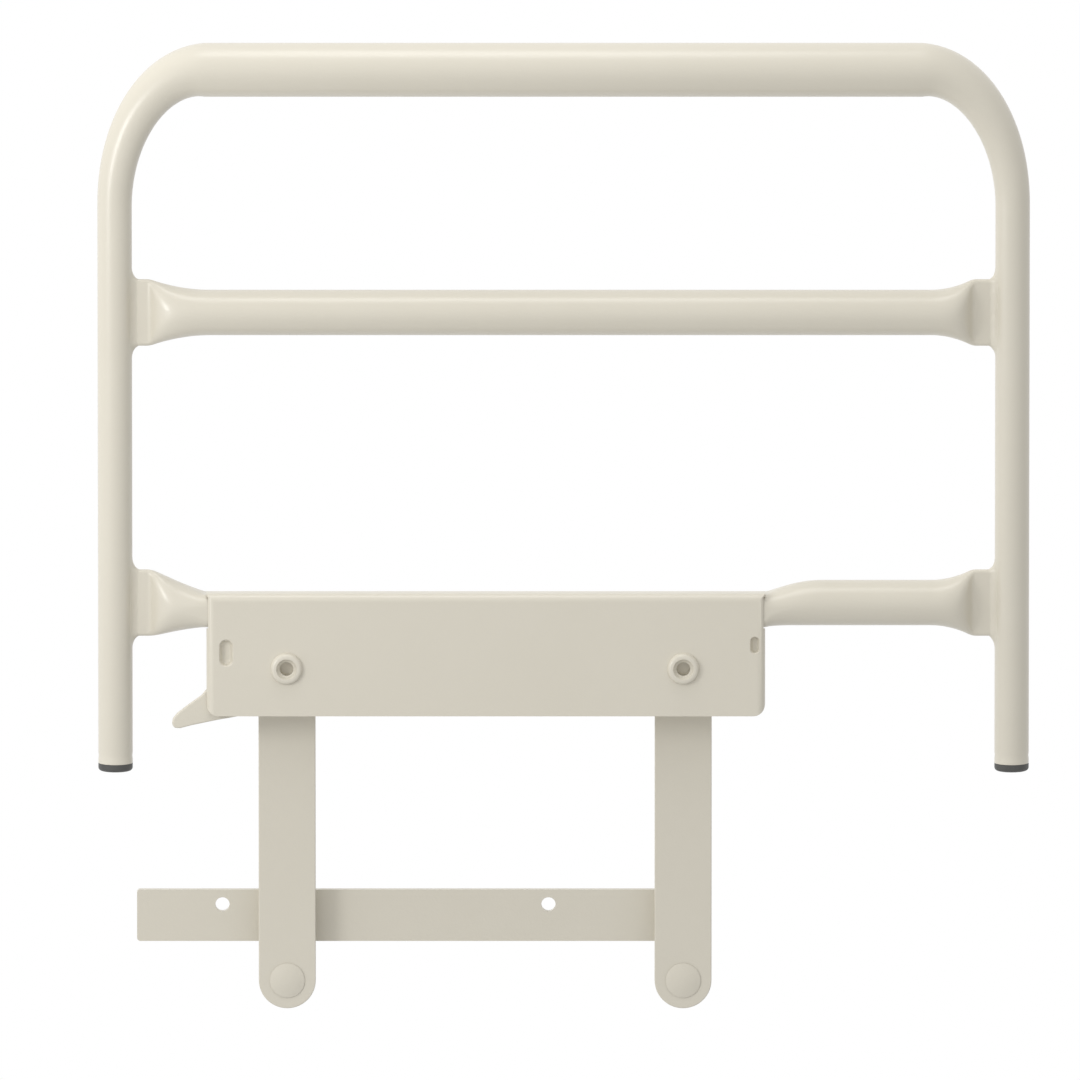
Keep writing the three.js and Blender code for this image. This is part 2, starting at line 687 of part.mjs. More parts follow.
// Plug turned about Y, with its crown down the leg's end once it is stood upright
function plugGeometry() {
  const headRadius = LEG_DIAMETER / 2;
  const stemRadius = headRadius - TUBE_WALL - RUN_GAP;
  const profile = [[0, -PLUG_HEAD_HEIGHT]];
  for (let step = 0; step <= DOME_STEPS; step++) {
    const angle = ((step / DOME_STEPS) * Math.PI) / 2;
    profile.push([
      headRadius - PLUG_EDGE_RADIUS * (1 - Math.sin(angle)),
      PLUG_EDGE_RADIUS * (1 - Math.cos(angle)) - PLUG_HEAD_HEIGHT,
    ]);
  }
  profile.push([headRadius, 0]);
  profile.push([stemRadius, 0]);
  profile.push([stemRadius, PLUG_STEM_LENGTH]);
  profile.push([0, PLUG_STEM_LENGTH]);
  return turned(profile).rotateX(Math.PI / 2);
}

// Latch pieces, drawn about the latch pivot
const LATCH_HUB_RADIUS = LATCH_HUB_DIAMETER / 2;
const LATCH_BORE_RADIUS = LATCH_HUB_RADIUS + RUN_GAP;
const LATCH_RING_RADIUS = LATCH_BORE_RADIUS + LATCH_RING_WALL;

function handleGeometry() {
  const outline = HANDLE_OUTLINE_SHARES.map(
    ([reachShare, dropShare]) => new THREE.Vector2(-reachShare * HANDLE_REACH, -dropShare * HANDLE_DROP),
  );
  const first = outline[0];
  const shape = new THREE.Shape();
  shape.absarc(0, 0, LATCH_RING_RADIUS, 0, Math.PI, false);
  for (const point of outline.reverse()) shape.lineTo(point.x, point.y);
  shape.lineTo(LATCH_RING_RADIUS, first.y);
  shape.closePath();
  shape.holes.push(circlePath(0, 0, LATCH_BORE_RADIUS));
  return plate(shape, HANDLE_THICKNESS);
}

function pawlGeometry() {
  const headX = LATCH_REACH;
  const headZ = -LATCH_RISE;
  const clearRadius = LINK_END_RADIUS + LATCH_GAP;
  const tipX = NOTCH_X - LATCH_GAP;
  const tipAngle = Math.PI + Math.acos(-tipX / clearRadius);
  const earAngle = Math.PI + Math.asin((LATCH_RING_RADIUS - LATCH_RISE) / clearRadius);
  const armAngle = THREE.MathUtils.degToRad(PAWL_ARM_ANGLE_DEGREES);
  const shape = new THREE.Shape();
  shape.absarc(0, 0, LATCH_RING_RADIUS, 0, armAngle, false);
  shape.lineTo(headX - clearRadius, headZ + NOTCH_END_Z + LATCH_GAP);
  shape.lineTo(headX + tipX, headZ + NOTCH_FLOOR_Z + LATCH_GAP);
  shape.absarc(headX, headZ, clearRadius, tipAngle, earAngle, true);
  shape.lineTo(LATCH_RING_RADIUS, -LATCH_RING_RADIUS);
  shape.closePath();
  shape.holes.push(circlePath(0, 0, LATCH_BORE_RADIUS));
  return plate(shape, LINK_THICKNESS);
}

function latchPinGeometry() {
  const headY = HUB_BACK_Y + RUN_GAP;
  const endY = headY + LATCH_RETAINER_THICKNESS;
  const radius = LATCH_PIN_DIAMETER / 2;
  const headRadius = LATCH_RETAINER_DIAMETER / 2;
  return turned([
    [0, HOUSING_INNER_Y],
    [radius, HOUSING_INNER_Y],
    [radius, headY],
    [headRadius, headY],
    [headRadius, endY],
    [0, endY],
  ]);
}

// Stud welded to the back of the pressed rail
function studGeometry(diameter) {
  const frontY = PRESSED_BACK_Y + RUN_GAP;
  const backY = LINK_BACK_Y + STUD_STICKOUT;
  return turned([
    [0, frontY],
    [diameter / 2, frontY],
    [diameter / 2, backY],
    [0, backY],
  ]);
}

// Spring between the pawl's ear and the anchor stud
const EAR_TOP_Z = LATCH_Z - LATCH_RING_RADIUS;
const SPRING_BOTTOM_Z = EAR_TOP_Z + RUN_GAP;
const SPRING_TOP_Z = PRESSED_CENTRE_Z - ANCHOR_DIAMETER / 2 - RUN_GAP;
const SPRING_HEIGHT = SPRING_TOP_Z - SPRING_BOTTOM_Z;

// Centre line of the spring: a straight foot, half a turn out to the coil, the turns, and the same back in
function springRoute() {
  const coilRadius = SPRING_MEAN_DIAMETER / 2;
  const coilHeight = SPRING_TURNS * SPRING_PITCH;
  const endHeight = (SPRING_HEIGHT - coilHeight) / 2;
  const halfTurnSteps = SPRING_STEPS_PER_TURN / 2;
  const steps = SPRING_TURNS * SPRING_STEPS_PER_TURN;
  const route = [new THREE.Vector3(0, 0, 0), new THREE.Vector3(0, 0, SPRING_WIRE_DIAMETER)];
  const spiral = (step, radius, z) => {
    const angle = (2 * Math.PI * step) / SPRING_STEPS_PER_TURN;
    route.push(new THREE.Vector3(radius * Math.cos(angle), radius * Math.sin(angle), z));
  };
  const run = endHeight - SPRING_WIRE_DIAMETER;
  for (let step = 1; step < halfTurnSteps; step++) {
    const share = step / halfTurnSteps;
    spiral(step - halfTurnSteps, coilRadius * share, SPRING_WIRE_DIAMETER + run * share);
  }
  for (let step = 0; step <= steps; step++) {
    spiral(step, coilRadius, endHeight + (coilHeight * step) / steps);
  }
  for (let step = 1; step < halfTurnSteps; step++) {
    const share = step / halfTurnSteps;
    spiral(steps + step, coilRadius * (1 - share), endHeight + coilHeight + run * share);
  }
  route.push(new THREE.Vector3(0, 0, SPRING_HEIGHT - SPRING_WIRE_DIAMETER));
  route.push(new THREE.Vector3(0, 0, SPRING_HEIGHT));
  return route;
}

// Tube along a route, with rings that turn no more than the route does
function wireGeometry(route, radius, sides) {
  const rings = [];
  const normal = new THREE.Vector3(1, 0, 0);
  route.forEach((point, index) => {
    const before = route[Math.max(index - 1, 0)];
    const after = route[Math.min(index + 1, route.length - 1)];
    const along = after.clone().sub(before).normalize();
    normal.addScaledVector(along, -normal.dot(along)).normalize();
    const across = along.clone().cross(normal);
    const ring = [];
    for (let side = 0; side < sides; side++) {
      const angle = (2 * Math.PI * side) / sides;
      const spot = point.clone();
      spot.addScaledVector(normal, radius * Math.cos(angle));
      spot.addScaledVector(across, radius * Math.sin(angle));
      ring.push(spot);
    }
    rings.push(ring);
  });
  return loft(rings, false);
}

// Least gap of the wire to itself, measured between points over half a turn apart
function leastGap(route) {
  let least = Infinity;
  for (let first = 0; first < route.length; first++) {
    for (let second = first + SPRING_STEPS_PER_TURN / 2; second < route.length; second++) {
      least = Math.min(least, route[first].distanceTo(route[second]));
    }
  }
  return least - SPRING_WIRE_DIAMETER;
}

const springLine = springRoute();
console.log("latch_spring: least gap to itself " + leastGap(springLine).toFixed(2) + " mm");

// Fold stop beside each upper pivot, where the link's edge comes to rest at the end of the fold
function stopOffset() {
  const fold = THREE.MathUtils.degToRad(FOLD_ANGLE_DEGREES);
  const aside = LINK_WIDTH / 2 + STOP_DIAMETER / 2 + STOP_GAP;
  const rise = PRESSED_CENTRE_Z - UPPER_PIVOT_Z;
  const along = (rise - aside * Math.sin(fold)) / -Math.cos(fold);
  return { x: along * Math.sin(fold) + aside * Math.cos(fold), z: rise };
}

// Assembly: the base, then each link with its bushes, then the hoop with all that it carries
const base = new THREE.Group();
base.add(piece("base_bar", barGeometry(), coatedSteel(), 0, 0, 0));

const links = new THREE.Group();
const guardFrame = new THREE.Group();
const stop = stopOffset();
const sides = [
  { name: "left", pivotX: LEFT_PIVOT_X, legX: LEFT_LEG_X, latched: true },
  { name: "right", pivotX: RIGHT_PIVOT_X, legX: RIGHT_LEG_X, latched: false },
];

for (const { name, pivotX, legX, latched } of sides) {
  const lower = new THREE.Group();
  lower.position.set(pivotX, 0, LOWER_PIVOT_Z);
  const spacer = sleeve(PIN_HOLE_RADIUS, SPACER_DIAMETER / 2, SPACER_FRONT_Y, LUG_FRONT_Y);
  lower.add(piece("base_lug_" + name, lugGeometry(), coatedSteel(), 0, BAR_FRONT_Y, 0));
  lower.add(piece("lower_spacer_" + name, spacer, zincSteel(), 0, 0, 0));
  lower.add(piece("lower_pivot_pin_" + name, lowerPinGeometry(), coatedSteel(), 0, 0, 0));
  base.add(lower);

  const link = new THREE.Group();
  link.position.set(pivotX, 0, LOWER_PIVOT_Z);
  link.add(piece("link_" + name, linkGeometry(latched), coatedSteel(), 0, LINK_BACK_Y, 0));
  link.add(piece("lower_bush_" + name, bushGeometry(false), bearingPlastic(), 0, 0, 0));
  link.add(piece("upper_bush_" + name, bushGeometry(true), bearingPlastic(), 0, 0, LINK_LENGTH));
  links.add(link);

  const upper = new THREE.Group();
  upper.position.set(pivotX, 0, UPPER_PIVOT_Z);
  const washer = sleeve(PIN_HOLE_RADIUS, WASHER_DIAMETER / 2, WASHER_FRONT_Y, NUT_FRONT_Y);
  upper.add(piece("pivot_boss_" + name, bossGeometry(), coatedSteel(), 0, 0, 0));
  upper.add(piece("upper_pivot_pin_" + name, upperPinGeometry(), coatedSteel(), 0, 0, 0));
  upper.add(piece("pivot_washer_" + name, washer, zincSteel(), 0, 0, 0));
  upper.add(piece("lock_nut_" + name, nutGeometry(), zincSteel(), 0, NUT_BACK_Y, 0));
  upper.add(piece("fold_stop_" + name, studGeometry(STOP_DIAMETER), coatedSteel(), stop.x, 0, stop.z));
  guardFrame.add(upper);
  guardFrame.add(piece("leg_plug_" + name, plugGeometry(), blackPlastic(), legX, RAIL_PLANE_Y, LEG_END_Z));
}

guardFrame.add(piece("hoop_tube", hoopGeometry(), coatedSteel(), 0, 0, 0));
guardFrame.add(piece("mid_rail", midRailGeometry(), coatedSteel(), 0, 0, 0));
guardFrame.add(piece("lower_rail", lowerRailGeometry(), coatedSteel(), 0, 0, 0));
guardFrame.add(piece("latch_housing", housingGeometry(), coatedSteel(), 0, 0, 0));

// Latch, its pin and its spring
const springX = LATCH_X + SPRING_OFFSET;
const springY = (LINK_FRONT_Y + LINK_BACK_Y) / 2;
const wire = wireGeometry(springLine, SPRING_WIRE_DIAMETER / 2, SPRING_SIDES);
const anchor = studGeometry(ANCHOR_DIAMETER);
guardFrame.add(piece("latch_pivot_pin", latchPinGeometry(), zincSteel(), LATCH_X, 0, LATCH_Z));
guardFrame.add(piece("latch_spring", wire, springSteel(), springX, springY, SPRING_BOTTOM_Z));
guardFrame.add(piece("spring_anchor", anchor, zincSteel(), springX, 0, PRESSED_CENTRE_Z));

const latch = new THREE.Group();
latch.position.set(LATCH_X, 0, LATCH_Z);
const hub = sleeve(LATCH_PIN_DIAMETER / 2 + RUN_GAP, LATCH_HUB_RADIUS, HUB_FRONT_Y, HUB_BACK_Y);
const handleBackY = HANDLE_FRONT_Y + HANDLE_THICKNESS;
latch.add(piece("latch_hub", hub, zincSteel(), 0, 0, 0));
latch.add(piece("latch_handle", handleGeometry(), coatedSteel(), 0, handleBackY, 0));
latch.add(piece("latch_pawl", pawlGeometry(), zincSteel(), 0, LINK_BACK_Y, 0));

const guardRail = new THREE.Group();
guardRail.add(base, links, guardFrame, latch);
export default guardRail;
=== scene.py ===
import math

import bmesh
import bpy
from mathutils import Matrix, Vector


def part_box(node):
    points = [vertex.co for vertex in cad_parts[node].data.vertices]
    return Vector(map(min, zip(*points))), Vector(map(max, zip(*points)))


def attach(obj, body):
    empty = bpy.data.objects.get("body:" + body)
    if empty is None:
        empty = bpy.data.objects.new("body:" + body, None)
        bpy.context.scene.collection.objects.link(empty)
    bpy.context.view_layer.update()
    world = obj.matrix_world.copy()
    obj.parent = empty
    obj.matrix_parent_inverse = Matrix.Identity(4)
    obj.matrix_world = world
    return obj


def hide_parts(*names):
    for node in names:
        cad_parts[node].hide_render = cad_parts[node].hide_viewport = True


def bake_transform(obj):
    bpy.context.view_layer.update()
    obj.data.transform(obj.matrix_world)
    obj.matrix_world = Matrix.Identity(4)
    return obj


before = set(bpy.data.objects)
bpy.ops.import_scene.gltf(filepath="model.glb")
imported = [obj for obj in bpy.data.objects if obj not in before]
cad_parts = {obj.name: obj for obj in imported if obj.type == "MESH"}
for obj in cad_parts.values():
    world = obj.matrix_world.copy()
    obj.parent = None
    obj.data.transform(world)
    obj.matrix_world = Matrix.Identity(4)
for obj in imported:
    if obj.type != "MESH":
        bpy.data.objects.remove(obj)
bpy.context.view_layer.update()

# Camera: a long lens straight in front of the rail and nine degrees above it, so that upright and
# level pieces stay parallel in the picture.
MM = 0.001
CAMERA_LENS = 1200
CAMERA_DISTANCE = 22680 * MM
CAMERA_CLIP_END = 3 * CAMERA_DISTANCE
CAMERA_ELEVATION = math.radians(9)
PICTURE_CENTRE = Vector((97.65, -39, 245.5)) * MM

back_off = Vector((0, -math.cos(CAMERA_ELEVATION), math.sin(CAMERA_ELEVATION)))
bpy.ops.object.camera_add(
    location=PICTURE_CENTRE + back_off * CAMERA_DISTANCE,
    rotation=(math.pi / 2 - CAMERA_ELEVATION, 0, 0),
)
camera = bpy.context.object
camera.data.lens = CAMERA_LENS
camera.data.clip_end = CAMERA_CLIP_END
bpy.context.scene.camera = camera
bpy.context.scene.view_settings.view_transform = "Standard"


# Light: a pale room that is brighter above and on the left and darker on the right, a lamp low in front
# on the left and one overhead. The left lamp stands close, so the rail darkens towards its right end.
KEY_PLACE = Vector((-950, -920, 530)) * MM
KEY_SIZE = 350 * MM
KEY_POWER = 4.3
TOP_PLACE = Vector((0, -300, 1900)) * MM
TOP_SIZE = 700 * MM
TOP_POWER = 5.1
ROOM_LEVEL = 0.77
ROOM_LEFT = 0.31
ROOM_RIGHT = 0.3
ROOM_ABOVE = 0.248
SEEN_RAYS = ["Is Camera Ray", "Is Glossy Ray", "Is Transmission Ray"]
WHITE = (1, 1, 1, 1)


def add_lamp(name, place, size, power):
    """A square lamp that shines at the middle of the picture."""
    aim = (PICTURE_CENTRE - place).to_track_quat("-Z", "Y").to_euler()
    bpy.ops.object.light_add(type="AREA", location=place, rotation=aim)
    lamp = bpy.context.object
    lamp.name = name
    lamp.data.size = size
    lamp.data.energy = power


add_lamp("key_lamp", KEY_PLACE, KEY_SIZE, KEY_POWER)
add_lamp("top_lamp", TOP_PLACE, TOP_SIZE, TOP_POWER)


class Wire:
    """A node's output, on which sums and products of values are written as plain expressions."""

    def __init__(self, graph, socket):
        self.graph = graph
        self.socket = socket

    def math(self, operation, first, second):
        return self.graph.node("ShaderNodeMath", {0: first, 1: second}, operation=operation)

    def __add__(self, other):
        return self.math("ADD", self, other)

    def __sub__(self, other):
        return self.math("SUBTRACT", self, other)

    def __rsub__(self, other):
        return self.math("SUBTRACT", other, self)

    def __mul__(self, other):
        return self.math("MULTIPLY", self, other)

    def largest(self, other):
        return self.math("MAXIMUM", self, other)

    __radd__ = __add__
    __rmul__ = __mul__


class Graph:
    """The node tree of a material or of the world."""

    MIX_FACTOR, MIX_LOW, MIX_HIGH, MIX_COLOUR = 0, 6, 7, 2

    def __init__(self, owner):
        owner.use_nodes = True
        self.owner = owner
        self.tree = owner.node_tree
        self.tree.nodes.clear()

    def node(self, kind, sockets=None, output=0, **settings):
        """Adds a node, sets it, fills its sockets with values or wires and returns one output."""
        made = self.tree.nodes.new(kind)
        for name, value in settings.items():
            if name == "stops":
                for stop, (position, level) in zip(made.color_ramp.elements, value):
                    stop.position = position
                    stop.color = (level, level, level, 1)
            else:
                setattr(made, name, value)
        for name, value in (sockets or {}).items():
            if isinstance(value, Wire):
                self.tree.links.new(value.socket, made.inputs[name])
            else:
                made.inputs[name].default_value = value
        return Wire(self, made.outputs[output]) if len(made.outputs) else made

    def noise(self, place, size, detail, roughness):
        """Noise from 0 to 1, by the size of its cells in metres, its detail and its roughness."""
        sockets = {"Vector": place, "Scale": 1 / size, "Detail": detail, "Roughness": roughness}
        return self.node("ShaderNodeTexNoise", sockets, "Fac")

    def blend(self, share, low, high):
        """A colour between two others."""
        sockets = {self.MIX_FACTOR: share, self.MIX_LOW: low, self.MIX_HIGH: high}
        return self.node("ShaderNodeMix", sockets, self.MIX_COLOUR, data_type="RGBA")

    def bump(self, height, depth):
        """A normal from heights between 0 and 1 that stand for the given depth in metres."""
        return self.node("ShaderNodeBump", {"Height": height, "Distance": depth})

    def seen(self):
        """1 for what the camera sees directly, in a mirror or through glass, and 0 for plain light."""
        direct, mirrored, through = (self.node("ShaderNodeLightPath", {}, ray) for ray in SEEN_RAYS)
        return direct.largest(mirrored).largest(through)


world = bpy.data.worlds.new("pale_room")
bpy.context.scene.world = world
room = Graph(world)
way = room.node("ShaderNodeTexCoord", output="Generated")
from_right = room.node("ShaderNodeSeparateXYZ", {0: way}, "X")
from_above = room.node("ShaderNodeSeparateXYZ", {0: way}, "Z")
brighter = (from_right * -ROOM_LEFT).largest(0) + (from_above * ROOM_ABOVE).largest(0)
plain = brighter + ROOM_LEVEL - (from_right * ROOM_RIGHT).largest(0)
level = room.seen() * (1 - plain) + plain
shade = room.node("ShaderNodeBackground", {"Color": WHITE, "Strength": level})
room.node("ShaderNodeOutputWorld", {"Surface": shade})


# Floor: a white disc below the lowest place that the folded rail reaches. It fades into the room at its
# edge and keeps the rail's shadow.
FLOOR_Z = -450 * MM
FLOOR_RADIUS = 1500 * MM
FLOOR_SIDES = 96
FLOOR_GREY = (0.5, 0.5, 0.5, 1)
FLOOR_LIFT = 0.56
FLOOR_FAR_LEVEL = 0.615
FLOOR_FADE_SHARES = [(0.35, 0), (0.95, 1)]


def new_material(name):
    """A new material's graph, and the place on the piece at which its patterns are read."""
    graph = Graph(bpy.data.materials.new(name))
    return graph, graph.node("ShaderNodeTexCoord", output="Object")


def white_floor():
    graph, place = new_material("white_floor")
    distance = graph.node("ShaderNodeVectorMath", {0: place}, "Value", operation="LENGTH")
    share = distance * (1 / FLOOR_RADIUS)
    fade = graph.node("ShaderNodeValToRGB", {"Fac": share}, stops=FLOOR_FADE_SHARES)
    matt = graph.node("ShaderNodeBsdfDiffuse", {"Color": FLOOR_GREY})
    lift = graph.node("ShaderNodeEmission", {"Strength": graph.seen() * FLOOR_LIFT})
    near = graph.node("ShaderNodeAddShader", {0: matt, 1: lift})
    far_level = graph.seen() * (1 - FLOOR_FAR_LEVEL) + FLOOR_FAR_LEVEL
    far = graph.node("ShaderNodeEmission", {"Strength": far_level})
    surface = graph.node("ShaderNodeMixShader", {0: fade, 1: near, 2: far})
    graph.node("ShaderNodeOutputMaterial", {"Surface": surface})
    return graph.owner


bpy.ops.mesh.primitive_circle_add(vertices=FLOOR_SIDES, radius=FLOOR_RADIUS, fill_type="NGON")
floor = bpy.context.object
floor.name = "floor_disc"
floor.location = (PICTURE_CENTRE.x, 0, FLOOR_Z)
floor.data.materials.append(white_floor())


# Hoop: one steel tube, swaged thinner towards its legs and bent at both top corners.
# It is coated all over in a cream powder paint, which dries to a fine orange peel.
COAT_COLOURS = [(0.642, 0.603, 0.508, 1), (0.678, 0.639, 0.545, 1)]
COAT_TONE_NOISE = (90 * MM, 2, 0.5)
COAT_TONE_SHARE = 0.7
COAT_CLOUD_NOISE = (11 * MM, 3, 0.5)
COAT_PEEL_NOISE = (1.5 * MM, 1.5, 0.4)
COAT_PEEL_DEPTH = 0.05 * MM
COAT_SPECK_NOISE = (0.35 * MM, 1, 0.5)
COAT_SPECK_SHARE = 0.12
COAT_SAG_NOISE = (26 * MM, 1, 0.5)
COAT_SAG_SHARE = 2.4
COAT_ROUGHNESS = (0.27, 0.35)
COAT_IOR = 1.58


def paint(graph, colour_share, colours, gloss_share, roughness, sockets):
    """Ends a material in its shader. One share places its colour between two, and one its roughness."""
    smooth, rough = roughness
    sockets["Base Color"] = graph.blend(colour_share, *colours)
    sockets["Roughness"] = gloss_share * (rough - smooth) + smooth
    surface = graph.node("ShaderNodeBsdfPrincipled", sockets)
    graph.node("ShaderNodeOutputMaterial", {"Surface": surface})
    return graph.owner


def powder_coat():
    graph, place = new_material("cream_powder_coat")
    cloud = graph.noise(place, *COAT_CLOUD_NOISE)
    tone = graph.noise(place, *COAT_TONE_NOISE) * COAT_TONE_SHARE + cloud * (1 - COAT_TONE_SHARE)
    speck = graph.noise(place, *COAT_SPECK_NOISE) * COAT_SPECK_SHARE
    sag = graph.noise(place, *COAT_SAG_NOISE) * COAT_SAG_SHARE
    height = graph.noise(place, *COAT_PEEL_NOISE) + speck + sag
    sockets = {"Normal": graph.bump(height, COAT_PEEL_DEPTH), "IOR": COAT_IOR}
    return paint(graph, tone, COAT_COLOURS, cloud, COAT_ROUGHNESS, sockets)


cream_coat = powder_coat()
HOOP_TOP_RADIUS = 17 * MM
HOOP_BEND_RUN = 57 * MM
HOOP_BEND_RISE = 86 * MM
HOOP_BEND_STEPS = 26
HOOP_SWELL_POWER = 1.5
HOOP_SIDES = 64
TUBE_WALL = 1.8 * MM
CRIMP_FROM_END = 2.5 * MM
CRIMP_RUN = 2.2 * MM
CRIMP_DEPTH = 0.25 * MM
SMOOTH_ANGLE = math.radians(35)
CLOSE = 0.01 * MM
MERGE_DISTANCE = 0.0025 * MM


def middle(node):
    low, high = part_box(node)
    return (low + high) / 2


def half_width(node):
    low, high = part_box(node)
    return (high.x - low.x) / 2


def shares(steps):
    """Even shares from 0 to 1."""
    return [step / steps for step in range(steps + 1)]


def pick(piece):
    """Leaves one piece selected and active, and nothing else."""
    bpy.ops.object.select_all(action="DESELECT")
    piece.select_set(True)
    bpy.context.view_layer.objects.active = piece


def start(name):
    """Names the primitive that was just added, puts its place into its mesh and opens it."""
    piece = bpy.context.object
    piece.name = name
    piece.data.name = name
    pick(piece)
    bpy.ops.object.transform_apply()
    bpy.ops.object.mode_set(mode="EDIT")
    return piece


def select(kind, test):
    """Selects the vertices, edges or faces of the open mesh that pass a test."""
    bpy.ops.mesh.select_mode(type=kind)
    bpy.ops.mesh.select_all(action="DESELECT")
    mesh = bmesh.from_edit_mesh(bpy.context.object.data)
    for part in {"VERT": mesh.verts, "EDGE": mesh.edges, "FACE": mesh.faces}[kind]:
        if test(part):
            part.select_set(True)
    mesh.select_flush_mode()
    bmesh.update_edit_mesh(bpy.context.object.data)


def draw_out(step):
    """Extrudes what is selected by a step."""
    bpy.ops.mesh.extrude_region_move(TRANSFORM_OT_translate={"value": step})


def resize(x, y, z, centre):
    bpy.ops.transform.resize(value=(x, y, z), center_override=centre)


def turn(angle, axis, centre):
    """Turns what is selected; without a window the operator turns the other way."""
    bpy.ops.transform.rotate(value=-angle, orient_axis=axis, center_override=centre)


def close_up(piece):
    """Merges doubles, points the faces outwards and leaves edit mode."""
    bpy.ops.mesh.select_mode(type="VERT")
    bpy.ops.mesh.select_all(action="SELECT")
    bpy.ops.mesh.remove_doubles(threshold=MERGE_DISTANCE)
    bpy.ops.mesh.normals_make_consistent(inside=False)
    bpy.ops.object.mode_set(mode="OBJECT")
    return piece


def modify(piece, kind, **settings):
    """Adds a modifier and applies it."""
    pick(piece)
    modifier = piece.modifiers.new(kind.lower(), kind)
    for name, value in settings.items():
        setattr(modifier, name, value)
    bpy.ops.object.modifier_apply(modifier=modifier.name)
    return piece


def finish(piece, material, angle=SMOOTH_ANGLE):
    """Smooths a piece and paints it."""
    pick(piece)
    bpy.ops.object.shade_smooth_by_angle(angle=angle)
    piece.data.materials.clear()
    piece.data.materials.append(material)
    return piece


def fit(piece, body, node=None):
    """Hangs a piece on the body that carries it, and hides the CAD node that it stands for."""
    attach(piece, body)
    if node:
        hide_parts(node)


left_plug = middle("leg_plug_left")
right_plug = middle("leg_plug_right")
leg_radius = half_width("leg_plug_left")
rail_y = left_plug.y
leg_end_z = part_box("hoop_tube")[0].z
hoop_top_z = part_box("hoop_tube")[1].z - HOOP_TOP_RADIUS


def hoop_stations():
    """Centre, tilt and radius of the tube's rings, up the left leg, over the top and down the right.
    Just above each end the tube is crimped a little, to hold its plug."""
    crimp_z = leg_end_z + CRIMP_FROM_END
    left = [(left_plug.x, leg_end_z, 0, leg_radius), (left_plug.x, crimp_z, 0, leg_radius)]
    left.append((left_plug.x, crimp_z + CRIMP_RUN, 0, leg_radius - CRIMP_DEPTH))
    left.append((left_plug.x, crimp_z + 2 * CRIMP_RUN, 0, leg_radius))
    for share in shares(HOOP_BEND_STEPS):
        angle = share * math.pi / 2
        x = left_plug.x + HOOP_BEND_RUN * (1 - math.cos(angle))
        z = hoop_top_z - HOOP_BEND_RISE * (1 - math.sin(angle))
        tilt = math.atan2(HOOP_BEND_RUN * math.sin(angle), HOOP_BEND_RISE * math.cos(angle))
        left.append((x, z, tilt, leg_radius + (HOOP_TOP_RADIUS - leg_radius) * share**HOOP_SWELL_POWER))
    span = left_plug.x + right_plug.x
    return left + [(span - x, z, math.pi - tilt, radius) for x, z, tilt, radius in reversed(left)]


def bent_hoop():
    stations = hoop_stations()
    bpy.ops.mesh.primitive_circle_add(
        vertices=HOOP_SIDES, radius=leg_radius, location=(left_plug.x, rail_y, leg_end_z)
    )
    piece = start("bent_hoop")
    for before, (x, z, tilt, radius) in zip(stations, stations[1:]):
        grown = radius / before[3]
        draw_out((x - before[0], 0, z - before[1]))
        turn(tilt - before[2], "Y", (x, rail_y, z))
        resize(grown, grown, grown, (x, rail_y, z))
    close_up(piece)
    modify(piece, "SOLIDIFY", thickness=TUBE_WALL, offset=-1, use_even_offset=True)
    return finish(piece, cream_coat)


fit(bent_hoop(), "guard_frame", "hoop_tube")


# Cross rails: round steel tubes pressed flat at both ends, where they are welded to the legs.
# The lower one is also pressed low and square along the stretch that the housing wraps.
RAIL_RADIUS = 14.3 * MM
RAIL_SIDES = 64
TAB_HALF_DEPTH = 2.25 * MM
TAB_HALF_HEIGHT = math.pi / 2 * RAIL_RADIUS - TAB_HALF_DEPTH * (math.pi / 2 - 1)
LEFT_TAB = 11 * MM
RIGHT_TAB = 14 * MM
LEFT_FLARE = 38 * MM
RIGHT_FLARE = 26 * MM
FLARE_STEPS = 14
FLARE_SOFT_POWER = 0.6
FLARE_HEIGHT_POWER = 2
FLARE_DEPTH_POWER = 5
PRESSED_HALF_HEIGHT = 9.95 * MM
PRESSED_HALF_DEPTH = 14.7 * MM
PRESSED_CORNER = 6 * MM
PRESSED_RELIEF = 36 * MM
CREASE_RADIUS = 2 * MM
CREASE_SEGMENTS = 3


def section(half_height, half_depth, corner, centre_z):
    return {"height": half_height, "depth": half_depth, "high": corner, "deep": corner, "z": centre_z}


def tab_section(centre_z):
    return section(TAB_HALF_HEIGHT, TAB_HALF_DEPTH, TAB_HALF_DEPTH, centre_z)


def round_section(centre_z):
    return section(RAIL_RADIUS, RAIL_RADIUS, RAIL_RADIUS, centre_z)


def ease_out(share, power):
    return 1 - (1 - share) ** power


def ease_in(share, power):
    return share**power


def flare(before, after, from_x, to_x, ease, high=FLARE_HEIGHT_POWER, deep=FLARE_DEPTH_POWER):
    """Stations between two sections, without the first. Between its ends the tube stays oval.
    Its height and its depth each have a power, which says how soon they change."""
    powers = {"height": high, "high": high, "z": high, "depth": deep, "deep": deep}
    made = []
    for share in shares(FLARE_STEPS)[1:]:
        mixed = {}
        for key, power in powers.items():
            mixed[key] = before[key] + (after[key] - before[key]) * ease(share, power)
        soft = math.sin(math.pi * share) ** FLARE_SOFT_POWER
        mixed["high"] += (mixed["height"] - mixed["high"]) * soft
        mixed["deep"] += (mixed["depth"] - mixed["deep"]) * soft
        made.append((from_x + (to_x - from_x) * share, mixed))
    return made


def at(vertex, axis, place):
    """Whether a vertex lies at a place along an axis, which is x, y or z."""
    return abs(getattr(vertex.co, axis) - place) < CLOSE


def all_at(edge, axis, place):
    return all(at(vertex, axis, place) for vertex in edge.verts)


def select_half(axis, place, split, centre, side):
    """Selects the vertices at a place along an axis that lie on one side of a centre."""
    select("VERT", lambda vertex: at(vertex, axis, place) and (getattr(vertex.co, split) - centre) * side > 0)


def shift(x, y, z):
    bpy.ops.transform.translate(value=(x, y, z))


